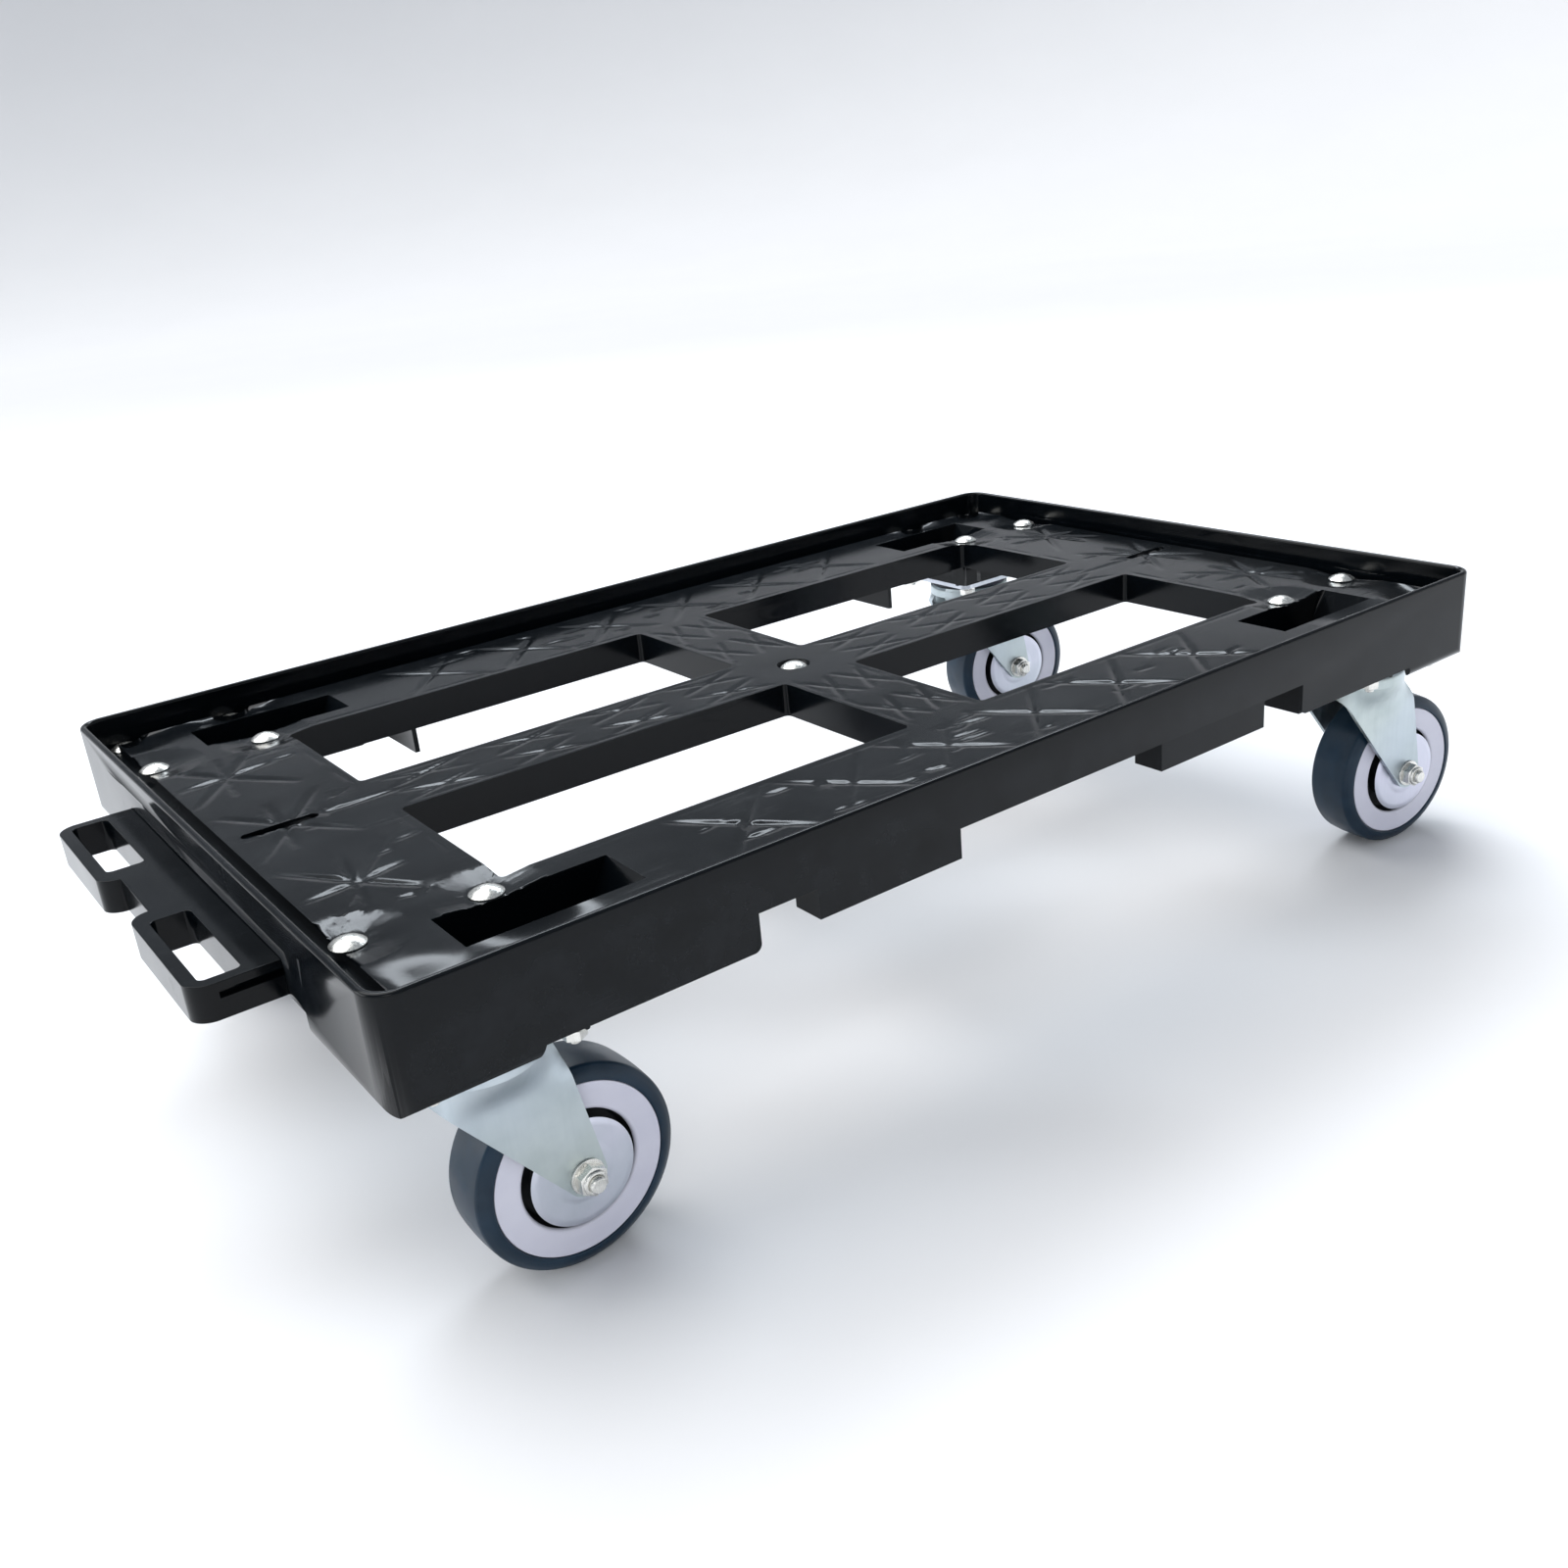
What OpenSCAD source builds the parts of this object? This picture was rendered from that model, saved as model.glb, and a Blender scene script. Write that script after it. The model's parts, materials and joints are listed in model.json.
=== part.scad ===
// Moulded platform dolly on four swivel casters, with a sliding coupling tongue.
// Row frame: +X runs along the deck away from the tongue, +Y runs across it and +Z is up.
// The origin is the middle of the footprint, on the floor. Front is the end with the tongue.

/* [Deck] */
// Length of the deck, end to end
deck_l = 720; // [640:1:900]
// Width of the deck, side to side
deck_w = 445; // [420:1:560]
// Height of the rim above the deck surface
rim_h = 12.5; // [8:0.5:20]
// Thickness of the outer wall and of the rim
wall_t = 4; // [3:0.5:5]
// Plan radius of the deck's corners
corner_r = 14; // [10:1:20]
// Thickness of the deck plate
deck_t = 4; // [3:0.5:5]
// Width of the gutter inside the rim
gutter_w = 12; // [8:1:14]
// Depth of the gutter below the deck surface
gutter_drop = 6; // [4:0.5:8]

/* [Windows] */
// Deck end to the nearest window edge
window_end = 95; // [92:1:130]
// Deck side to the nearest window edge
window_side = 87; // [80:1:110]
// Width of the centre bar that runs along the deck
long_bar_w = 52; // [40:1:70]
// Width of the centre bar that runs across the deck
cross_bar_w = 51; // [40:1:70]
// Depth of the beams below the deck surface
beam_h = 19.5; // [14:0.5:26]
// Thickness of the window walls
frame_t = 3; // [2.5:0.5:4]
// Plan radius of the window corners
window_r = 3; // [2:0.5:6]

/* [Skirt] */
// Rim top to the bottom of the shallow skirt
skirt_h = 29; // [24:1:34]
// Rim top to the bottom of the caster blocks
block_h = 47; // [44:1:48]
// Length of a caster block along the side
block_l = 171; // [150:1:185]
// Rim top to the bottom of the corner feet
foot_h = 54; // [50:1:60]
// Length of a corner foot along the side
foot_l = 62; // [40:1:80]
// Width of a corner foot across the end
foot_w = 86; // [84:1:92]
// Rim top to the bottom of the end wall beside the tongue
end_wall_h = 41; // [38:1:46]
// Deck end to the start of a side tab
tab_x = 204; // [190:1:220]
// Length of a side tab
tab_l = 85; // [60:1:90]
// Rim top to the bottom of a side tab
tab_h = 45; // [36:1:50]
// Depth of a side tab into the deck
tab_d = 18; // [12:1:24]
// Step from the skirt back to a side tab
tab_step = 1; // [0.5:0.5:2]

/* [Pockets] */
// Deck end to a side pocket
pocket_x = 54; // [48:1:60]
// Length of a side pocket at its mouth
pocket_l = 85; // [60:1:95]
// Deck side to a side pocket
pocket_y = 36; // [32:1:38]
// Width of a side pocket
pocket_w = 34; // [24:1:34]
// Depth of a side pocket below the deck surface
pocket_h = 22; // [14:1:24]
// How far each end of a pocket slopes in
pocket_slope = 12; // [6:1:16]

/* [Ribs] */
// Thickness of the ribs under the deck
rib_t = 2.5; // [2:0.5:3.5]
// Thickness of the pocket walls
pocket_t = 3; // [2:0.5:4]
// Deck end to the centres of the star ribs
star_x = 44; // [38:1:50]
// Distance between the star ribs' centres
star_pitch = 92; // [80:1:94]

/* [Caster mounting] */
// Deck end to the first row of bolts
bolt_x = 21; // [20:1:24]
// Deck side to the first row of bolts
bolt_y = 14; // [14:1:18]
// Bolt spacing along the deck
bolt_dx = 63; // [58:1:63]
// Bolt spacing across the deck
bolt_dy = 65; // [60:1:65]
// Thread diameter of the mounting bolts
bolt_d = 6; // [5:0.5:6]
// Diameter of the domed bolt heads
bolt_head_d = 16; // [12:0.5:16.5]
// Height of the domed bolt heads
bolt_head_h = 3.6; // [3:0.1:4]
// Depth of the bolt seats in the deck surface
seat_drop = 2; // [1:0.5:2.5]
// Radius of the dished area around an inner bolt
dish_r = 27; // [20:1:28]

/* [Casters] */
// Diameter of the wheels
wheel_d = 100; // [80:1:125]
// Width of the tyres
wheel_w = 32; // [26:1:36]
// Wheel top to the top of the caster plate
fork_rise = 36; // [30:1:44]
// Swivel axis to wheel axle
trail = 32; // [26:1:40]
// Thickness of the top plate
plate_t = 3; // [2.5:0.5:4]
// Thickness of the fork legs
leg_t = 3; // [2:0.5:4]
// Radius of the swivel head
head_r = 31; // [30:0.5:32]
// Diameter of the kingpin
kingpin_d = 12; // [10:0.5:14]
// Diameter of the swivel balls
ball_d = 6; // [5:0.5:6.5]
// Diameter of the axle bolt
axle_d = 8; // [6:0.5:9]
// Diameter of the spacer sleeve on the axle
sleeve_d = 12; // [11:0.5:13]
// Outer diameter of the wheel bearings
bearing_d = 28; // [24:0.5:30]
// Width of a wheel bearing
bearing_w = 8; // [6:0.5:9]
// Outer diameter of the thread guards
guard_d = 51.6; // [44:0.1:54]
// Swivel angle of each caster: front left, front right, rear left, rear right
yaw = [1, 5, -8, -9]; // [-180:1:180]

/* [Coupling tongue] */
// Width of the tongue
tongue_w = 235; // [200:1:236]
// How far the tongue stands out
tongue_out = 39; // [36:1:44]
// Length of the tongue inside the deck
tongue_in = 56; // [50:1:56]
// Thickness of the tongue
tongue_h = 17; // [15:0.5:20]
// Rim top to the tongue's top face
tongue_drop = 23.2; // [23:0.1:24]
// Length of the guide slots in the deck
slot_l = 39; // [30:1:39]
// Deck end to a guide slot
slot_x = 23.5; // [22:0.5:24]
// Diameter of the guide peg
peg_d = 6; // [5:0.5:8]
// Width of the notch between the two lugs
notch_w = 48; // [30:1:54]
// Depth of the notch between the two lugs
notch_d = 9.5; // [6:0.5:14]
// Length of a lug hole across the tongue
lug_hole_l = 74; // [50:1:76]
// Width of a lug hole along the tongue
lug_hole_w = 18; // [12:1:20]

/* [Hidden] */
CASTERS = ["front_left", "front_right", "rear_left", "rear_right"];
CASTER_PIECES = ["top_plate", "kingpin", "swivel_balls", "seal_ring", "fork", "thread_guards",
                 "axle_bolt", "axle_nut", "axle_sleeve", "wheel_bearings", "wheel_core", "tyre"];

$fn = 64;
cut = 1;             // how far a cutter runs past a face
gap = 0.5;           // sliding clearance around the tongue
peg_gap = 0.3;       // clearance beside the guide peg in its slot
run_gap = 0.05;      // radial clearance of a shaft that turns in a bore
face_gap = 0.3;      // gap between faces that turn past each other
hole_gap = 0.3;      // radial clearance of a bolt in its hole

// heights
caster_h = wheel_d + fork_rise;                 // floor to the top of the caster plate
boss_drop = 1;                                  // bolt bosses stand below the blocks
plate_drop = block_h + boss_drop;               // rim top to the top of the caster plate
rim_z = caster_h + plate_drop;
deck_z = rim_z - rim_h;
under_z = deck_z - deck_t;
gutter_z = deck_z - gutter_drop;
gutter_under_z = gutter_z - deck_t;
beam_z = deck_z - beam_h;
seat_z = deck_z - seat_drop;
skirt_z = rim_z - skirt_h;
block_z = rim_z - block_h;
foot_z = rim_z - foot_h;
end_wall_z = rim_z - end_wall_h;
tab_z = rim_z - tab_h;
pocket_z = deck_z - pocket_h;
tongue_z = rim_z - tongue_drop;

// plan
deck_in = wall_t + gutter_w;                    // deck side to the raised surface
window_l = (deck_l - 2 * window_end - cross_bar_w) / 2;
window_w = (deck_w - 2 * window_side - long_bar_w) / 2;
caster_x = bolt_x + bolt_dx / 2;                // deck end to a swivel axis
caster_y = bolt_y + bolt_dy / 2;                // deck side to a swivel axis
plate_margin_x = 9;                             // bolt row to the plate's end
plate_margin_y = 7;                             // bolt row to the plate's side
boss_w = 14;                                    // width of the bolt bosses
step_r = 8;                                     // plan radius of the raised surface's corners
step_in_r = step_r - frame_t + 1;               // the same, inside the wall below its edge
rib_rise = 2;                                   // beam bottom to the ribs' lower edges
seat_r = bolt_head_d / 2 + 2;
foot_r = 6;                                     // round corners of the feet, from the side
block_r = 4;                                    // round corners of the blocks, from the side

// mounting bolts
bolt_r = bolt_d / 2;
neck_h = 3;                                     // height of the square neck
washer_t = 1.5;
nut_h = 5;
bolt_tip = 2.5;                                 // thread that stands out of the nut
nut_r = bolt_d * 0.96;                          // across corners, halved
washer_gap = 0.2;                               // radial clearance of a washer on its bolt
caster_washer_r = bolt_d * 0.95;
centre_washer_r = bolt_d;
plate_under_z = caster_h - plate_t;

// casters, measured down from the top of the plate
wheel_r = wheel_d / 2;
axle_z = -(caster_h - wheel_r);
tyre_t = 8;                                     // radial thickness of the tyre
tyre_r = 6;                                     // radius of the tyre's shoulders
core_r = wheel_r - tyre_t;
ring_in_r = core_r - 13.3;                      // inner edge of the core's face ring
core_face = wheel_w / 2 - 0.5;                  // face of the core from the wheel's centre
web_half = 5;                                   // half thickness of the core's web
plate_r = 5;                                    // plan radius of the top plate's corners
race_t = 3;                                     // raised race under the plate
race_z = -(plate_t + race_t);
crown_gap = 3;                                  // race to the fork's crown
crown_top = race_z - crown_gap;
crown_t = 5;
crown_z = crown_top - crown_t;
ball_ring_r = head_r - 7;
seal_r = head_r - 0.5;
seal_in_r = ball_ring_r + ball_d / 2 + 0.8;
ball_z = (race_z + crown_top) / 2;
ball_count = 16;
leg_gap = 2.5;                                  // tyre side to fork leg
leg_in = wheel_w / 2 + leg_gap;
leg_out = leg_in + leg_t;
leg_end_r = 10;                                 // round end of a fork leg
leg_half = 29;                                  // half width of the leg at the crown
leg_shoulder = 8;                               // crown to the foremost point of a leg
leg_back = 60;                                  // axle up to the bend in a leg's rear edge
saddle_r = norm([leg_half, leg_out]);
guard_t = 0.8;
sleeve_half = leg_in - guard_t;
hub_half = sleeve_half - 0.5;
hub_r = bearing_d / 2 + 4.5;
bearing_lip = 2;                                // width of a bearing's edge beside its groove
bearing_groove = 0.4;
kingpin_r = kingpin_d / 2;
flange_r = kingpin_r + 4;
flange_t = 3;                                   // thickness of the kingpin's lower flange
rivet_t = 1.4;                                  // thickness of its formed upper head
rivet_gap = 0.1;

// axle bolt and its nut
axle_gap = 0.1;                                 // radial clearance of the bolt in its holes
axle_hex_r = axle_d * 0.93;                     // across corners, halved
axle_head_t = axle_d * 0.66;
axle_tip = axle_d * 0.3;                        // thread that stands out of the nut
axle_nut_h = axle_d;
nut_hex_h = axle_d * 0.8;
nut_collar_r = axle_d * 0.72;
nut_flange_r = axle_d * 1.06;
nut_flange_t = 1.2;

// tongue, measured from the deck end at x = 0 and the deck's centre line
tongue_l = tongue_in + tongue_out;
tongue_top_t = 4;
tongue_wall = 7;
tongue_web = 4;                                 // walls at the ends of its hollows
tongue_r = 10;                                  // plan radius of the outer corners
tongue_in_r = 3;                                // plan radius of the inner corners
lug_hole_r = 3;                                 // plan radius of a lug hole's corners
lug_edge = 6.5;                                 // lug hole to the tongue's outer edges
peg_r = peg_d / 2;
peg_x = slot_x + peg_r + gap;                   // guide peg when the tongue is pulled out
travel = slot_l - peg_d - 2 * gap;              // how far the tongue slides in
slot_w = peg_d + 2 * peg_gap;
rail_t = 4;                                     // thickness of the guide rails
ridge_h = 3;                                    // height of the ridges on the rails
ridge_in = 2.6;                                 // how far the ridges reach into the tongue
ridge_x = 6;                                    // deck end to the start of a ridge
ridge_gap = 0.3;                                // clearance above and below a ridge
groove_h = ridge_h + 2 * ridge_gap;
groove_d = ridge_in + 0.4;
groove_z = tongue_z - tongue_top_t - groove_h;
rail_y = tongue_w / 2 + gap;                    // inner face of a guide rail
mouth_z = tongue_z + gap;                       // top edge of the coupling mouth
peg_head_r = peg_r + 3;
peg_head_h = 2.5;
peg_wall = 4;                                   // wall around the peg
peg_top_drop = 1.5;                             // deck surface down to the peg's top
peg_fit = 0.02;                                 // radial clearance of the peg in the tongue

// the whole cart is centred over the floor's origin
function reach(a) = trail * cos(a) + (wheel_r - tyre_r) * abs(cos(a))
                    + (wheel_w / 2 - tyre_r) * abs(sin(a)) + tyre_r;
rear_over = max(0, max(reach(yaw[2]), reach(yaw[3])) - caster_x);
deck_x = (tongue_out - rear_over) / 2;

// point where a line from p touches a circle, on the side given by s
function touch(c, r, p, s) =
    let (v = p - c, a = atan2(v[1], v[0]) + s * acos(r / norm(v)))
    c + r * [cos(a), sin(a)];

// ---- shared shapes ----

// rectangle with round corners, its low corner at the origin
module round_rect(l, w, r) {
    translate([r, 0]) square([l - 2 * r, w]);
    translate([0, r]) square([l, w - 2 * r]);
    for (x = [r, l - r], y = [r, w - r]) translate([x, y]) circle(r);
}

// block from a low corner to a high corner
module block(low, high) {
    translate(low) cube(high - low);
}

// layer of the deck's plan, drawn in from its edge
module deck_layer(inset, r, low, high) {
    translate([inset - deck_l / 2, inset - deck_w / 2, low])
        linear_extrude(high - low) round_rect(deck_l - 2 * inset, deck_w - 2 * inset, r);
}

// upright wall between two plan points
module rib(a, b, low, high) {
    d = b - a;
    translate([a[0], a[1], low]) rotate([0, 0, atan2(d[1], d[0])])
        translate([0, -rib_t / 2, 0]) cube([norm(d), rib_t, high - low]);
}

// two crossing ribs that fill a rectangle
module cross_ribs(low, high, z_low, z_high) {
    rib(low, high, z_low, z_high);
    rib([low[0], high[1]], [high[0], low[1]], z_low, z_high);
}

// copies of a corner piece drawn at the deck's low corner
module each_corner() {
    for (mx = [0, 1], my = [0, 1])
        mirror([mx, 0, 0]) mirror([0, my, 0])
            translate([-deck_l / 2, -deck_w / 2, 0]) children();
}

// copies of a piece drawn at the low end, on the centre line
module each_end() {
    for (mx = [0, 1]) mirror([mx, 0, 0]) translate([-deck_l / 2, 0, 0]) children();
}

module at_bolts() {
    for (i = [0, 1], j = [0, 1])
        translate([bolt_x + i * bolt_dx, bolt_y + j * bolt_dy, 0])
            let ($outer = j == 0) children();
}

function caster_pos(i) = [(i < 2 ? -1 : 1) * (deck_l / 2 - caster_x) + deck_x,
                          (i % 2 == 0 ? -1 : 1) * (deck_w / 2 - caster_y), caster_h];

module at_caster(i) {
    translate(caster_pos(i)) children();
}

module at_swivel(i) {
    translate(caster_pos(i)) rotate([0, 0, yaw[i]]) children();
}

// local z runs along the axle, from the wheel's centre
module on_axle() {
    translate([trail, 0, axle_z]) rotate([90, 0, 0]) children();
}

// ---- deck ----

// outline of the long walls, seen from the side, for one half of the deck
module side_profile() {
    slope = foot_h - block_h;
    translate([0, skirt_z]) square([deck_l / 2 + cut, rim_z - skirt_z]);
    translate([0, block_z]) round_rect(block_l, rim_z - block_z, block_r);
    translate([0, foot_z]) round_rect(foot_l, rim_z - foot_z, foot_r);
    polygon([[foot_l - foot_r, foot_z], [foot_l, foot_z], [foot_l + slope / 2, block_z],
             [foot_l - foot_r, block_z]]);
}

// outline of the end walls, seen from the end, for one half of the deck
module end_profile() {
    mouth_y = deck_w / 2 - rail_y;
    translate([0, mouth_z]) square([deck_w / 2 + cut, rim_z - mouth_z]);
    translate([0, end_wall_z]) square([mouth_y, rim_z - end_wall_z]);
    translate([0, foot_z]) round_rect(foot_w, rim_z - foot_z, foot_r);
}

module outer_walls() {
    intersection() {
        difference() {
            deck_layer(0, corner_r, foot_z, rim_z);
            deck_layer(wall_t, corner_r - wall_t, foot_z - cut, rim_z + cut);
        }
        for (mx = [0, 1]) mirror([mx, 0, 0]) translate([-deck_l / 2, deck_w / 2 + cut, 0])
            rotate([90, 0, 0]) linear_extrude(deck_w + 2 * cut) side_profile();
        for (my = [0, 1]) mirror([0, my, 0]) translate([-deck_l / 2 - cut, -deck_w / 2, 0])
            rotate([90, 0, 90]) linear_extrude(deck_l + 2 * cut) end_profile();
    }
}

// raised surface of the deck and the floor of its gutter
module deck_plate() {
    deck_layer(deck_in, step_r, under_z, deck_z);
    difference() {
        deck_layer(wall_t / 2, corner_r - wall_t / 2, gutter_under_z, under_z + cut);
        deck_layer(deck_in + frame_t, step_in_r, gutter_under_z - cut, under_z + 2 * cut);
    }
}

// flat seat of a mounting bolt: level with the gutter outside, in a shallow dish inside
module bolt_seat() {
    if ($outer) translate([0, 0, gutter_z]) cylinder(r = seat_r, h = gutter_drop + cut);
    else translate([0, 0, seat_z]) {
        cylinder(r = seat_r, h = seat_drop + cut);
        cylinder(r1 = seat_r, r2 = dish_r, h = seat_drop);
    }
}

// channel between the rim and the raised surface
module gutter() {
    difference() {
        deck_layer(wall_t, corner_r - wall_t, gutter_z, rim_z + cut);
        deck_layer(deck_in, step_r, gutter_z - cut, rim_z + 2 * cut);
    }
}

// walls that hang under the plate around a window
module window_frame() {
    translate([window_end - frame_t, window_side - frame_t, beam_z])
        linear_extrude(under_z + cut - beam_z)
            round_rect(window_l + 2 * frame_t, window_w + 2 * frame_t, window_r + frame_t);
}

module window_hole() {
    translate([window_end, window_side, beam_z - cut])
        linear_extrude(deck_z - beam_z + 2 * cut) round_rect(window_l, window_w, window_r);
}

// caster block of one corner: bolt bosses, the ribs between them and the closing walls
module corner_block() {
    far_x = bolt_x + bolt_dx;
    far_y = bolt_y + bolt_dy;
    top = under_z + cut;
    at_bolts() translate([-boss_w / 2, -boss_w / 2, caster_h])
        cube([boss_w, boss_w, top - caster_h]);
    for (y = [bolt_y, far_y]) rib([wall_t / 2, y], [window_end, y], caster_h, top);
    for (x = [bolt_x, far_x]) rib([x, wall_t / 2], [x, foot_w], caster_h, top);
    for (x = [bolt_x, far_x]) rib([x, bolt_y - boss_w], [x, bolt_y], caster_h, top);
    block([wall_t / 2, foot_w - frame_t, block_z], [window_end, foot_w, top]);
    block([block_l - frame_t, wall_t / 2, block_z], [block_l, window_side, top]);
    block([window_end - frame_t, wall_t / 2, block_z], [window_end, window_side, top]);
}

module pocket_block() {
    block([pocket_x - pocket_t, pocket_y - pocket_t, pocket_z - pocket_t],
          [pocket_x + pocket_l + pocket_t, pocket_y + pocket_w + pocket_t, under_z + cut]);
}

module pocket_hole() {
    slope = pocket_slope * (pocket_h + cut) / pocket_h;
    translate([0, pocket_y + pocket_w, 0]) rotate([90, 0, 0]) linear_extrude(pocket_w)
        polygon([[pocket_x + pocket_slope, pocket_z],
                 [pocket_x + pocket_l - pocket_slope, pocket_z],
                 [pocket_x + pocket_l - pocket_slope + slope, deck_z + cut],
                 [pocket_x + pocket_slope - slope, deck_z + cut]]);
}

// hollow tab that hangs under the side skirt
module side_tab() {
    difference() {
        block([tab_x, tab_step, tab_z], [tab_x + tab_l, tab_step + tab_d, skirt_z + cut]);
        block([tab_x + frame_t, tab_step + frame_t, tab_z - cut],
              [tab_x + tab_l - frame_t, tab_step + tab_d - frame_t, skirt_z + 2 * cut]);
    }
    block([tab_x, tab_step + tab_d - frame_t, skirt_z],
          [tab_x + tab_l, tab_step + tab_d, under_z + cut]);
}

// crossing ribs under the beams of one half of the deck
module beam_ribs() {
    side_cells = 3;
    side_l = (deck_l / 2 - block_l) / side_cells;
    for (i = [0:side_cells - 1])
        cross_ribs([block_l + i * side_l, wall_t / 2],
                   [block_l + (i + 1) * side_l, window_side - frame_t / 2],
                   skirt_z + rib_rise, under_z + cut);
    bar_cells = 4;
    bar_l = window_l / bar_cells;
    for (i = [0:bar_cells - 1])
        cross_ribs([window_end + i * bar_l, (deck_w - long_bar_w + frame_t) / 2],
                   [window_end + (i + 1) * bar_l, deck_w / 2], beam_z + rib_rise, under_z + cut);
    cross_cells = 2;
    cell_w = window_w / cross_cells;
    for (i = [0:cross_cells - 1])
        cross_ribs([(deck_l - cross_bar_w + frame_t) / 2, window_side + i * cell_w],
                   [deck_l / 2, window_side + (i + 1) * cell_w], beam_z + rib_rise,
                   under_z + cut);
}

// shallow star ribs over the tongue
module star_ribs() {
    arm = star_pitch / 2;
    side = min(star_x - deck_in, window_end - star_x) - frame_t / 2;
    for (i = [-1, 0, 1]) translate([star_x, i * star_pitch]) {
        rib([-side, -arm], [side, arm], gutter_under_z, under_z + cut);
        rib([-side, arm], [side, -arm], gutter_under_z, under_z + cut);
        rib([-side, 0], [window_end - frame_t / 2 - star_x, 0], gutter_under_z, under_z + cut);
    }
}

// rails beside the tongue, with ridges that run in its grooves
module guide_rails() {
    end_x = window_end - frame_t / 2;
    for (s = [0, 1]) mirror([0, s, 0]) {
        block([wall_t / 2, rail_y, end_wall_z], [end_x, rail_y + rail_t, under_z + cut]);
        block([ridge_x, tongue_w / 2 - ridge_in, groove_z + ridge_gap],
              [end_x, rail_y + cut, groove_z + ridge_gap + ridge_h]);
    }
}

module guide_slot() {
    r = slot_w / 2;
    translate([slot_x, 0, gutter_under_z - cut]) linear_extrude(deck_z - gutter_under_z + 2 * cut) {
        translate([r, -r]) square([slot_l - slot_w, slot_w]);
        for (x = [r, slot_l - r]) translate([x, 0]) circle(r);
    }
}

module bolt_hole(top_z, low_z) {
    neck_w = bolt_d + 2 * hole_gap;
    translate([0, 0, low_z - cut]) cylinder(r = bolt_r + hole_gap, h = top_z - low_z + 2 * cut);
    translate([-neck_w / 2, -neck_w / 2, top_z - neck_h - hole_gap])
        cube([neck_w, neck_w, neck_h + hole_gap + cut]);
}

module deck() {
    color([0.10, 0.11, 0.13]) translate([deck_x, 0, 0]) difference() {
        union() {
            outer_walls();
            deck_plate();
            each_corner() {
                window_frame();
                corner_block();
                pocket_block();
                side_tab();
                beam_ribs();
            }
            each_end() {
                star_ribs();
                guide_rails();
            }
            translate([0, 0, beam_z]) cylinder(d = boss_w, h = under_z + cut - beam_z);
        }
        gutter();
        each_corner() {
            window_hole();
            pocket_hole();
            at_bolts() {
                bolt_seat();
                bolt_hole($outer ? gutter_z : seat_z, caster_h);
            }
        }
        each_end() guide_slot();
        translate([0, 0, seat_z]) cylinder(r = seat_r, h = seat_drop + cut);
        bolt_hole(seat_z, beam_z);
    }
}

// ---- coupling tongue ----

module notch_plan() {
    translate([-tongue_out - cut, -notch_w / 2]) square([notch_d + cut, notch_w]);
    for (s = [0, 1]) mirror([0, s]) difference() {
        translate([-tongue_out - cut, notch_w / 2 - cut]) square([notch_d + cut, notch_d + cut]);
        translate([-tongue_out + notch_d, notch_w / 2 + notch_d]) circle(notch_d);
    }
}

module tongue_plan() {
    difference() {
        union() {
            translate([-tongue_out, -tongue_w / 2]) round_rect(tongue_l / 2, tongue_w, tongue_r);
            translate([-tongue_out + tongue_r, -tongue_w / 2])
                round_rect(tongue_l - tongue_r, tongue_w, tongue_in_r);
        }
        notch_plan();
        for (s = [0, 1]) mirror([0, s])
            translate([-tongue_out + lug_edge, tongue_w / 2 - lug_edge - lug_hole_l])
                round_rect(lug_hole_w, lug_hole_l, lug_hole_r);
    }
}

module coupling_tongue() {
    pocket_x0 = -tongue_out + lug_edge + lug_hole_w + tongue_web;
    cells = 4;
    cell_w = (tongue_w - 2 * tongue_wall + rib_t) / cells;
    low_z = tongue_z - tongue_h;
    color([0.10, 0.11, 0.13]) translate([deck_x - deck_l / 2, 0, 0]) difference() {
        union() {
            difference() {
                translate([0, 0, low_z]) linear_extrude(tongue_h) tongue_plan();
                for (i = [0:cells - 1])
                    translate([pocket_x0, -tongue_w / 2 + tongue_wall + i * cell_w, low_z - cut])
                        cube([tongue_in - tongue_web - pocket_x0, cell_w - rib_t,
                              tongue_h - tongue_top_t + cut]);
            }
            translate([peg_x, 0, low_z + peg_head_h])
                cylinder(r = peg_r + peg_wall, h = tongue_h - tongue_top_t);
        }
        translate([peg_x, 0, low_z - cut]) {
            cylinder(r = peg_r + peg_fit, h = tongue_h + 2 * cut);
            cylinder(r = peg_head_r + gap, h = peg_head_h + cut);
        }
        for (s = [0, 1]) mirror([0, s, 0])
            block([ridge_x - travel - cut, tongue_w / 2 - groove_d, groove_z],
                  [tongue_in + cut, tongue_w / 2 + cut, groove_z + groove_h]);
    }
}

module guide_peg() {
    low_z = tongue_z - tongue_h;
    color([0.08, 0.08, 0.09]) translate([deck_x - deck_l / 2 + peg_x, 0, low_z]) {
        cylinder(r = peg_head_r, h = peg_head_h);
        cylinder(r = peg_r, h = deck_z - low_z - peg_top_drop);
    }
}

// ---- fasteners of the deck ----

// domed head, square neck and shank, seated at z = 0 and reaching down to low_z
module dome_bolt(low_z) {
    sphere_r = (pow(bolt_head_d / 2, 2) + pow(bolt_head_h, 2)) / (2 * bolt_head_h);
    rotate_extrude() intersection() {
        translate([0, bolt_head_h - sphere_r]) circle(sphere_r, $fn = 96);
        square([bolt_head_d / 2, bolt_head_h]);
    }
    translate([-bolt_r, -bolt_r, -neck_h]) cube([bolt_d, bolt_d, neck_h + cut]);
    translate([0, 0, low_z]) cylinder(r = bolt_r, h = -low_z);
}

module washer(hole_r, outer_r, t) {
    difference() {
        cylinder(r = outer_r, h = t);
        translate([0, 0, -cut]) cylinder(r = hole_r, h = t + 2 * cut);
    }
}

module hex_nut(hole_r, corner, h) {
    difference() {
        cylinder(r = corner, h = h, $fn = 6);
        translate([0, 0, -cut]) cylinder(r = hole_r, h = h + 2 * cut);
    }
}

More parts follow.
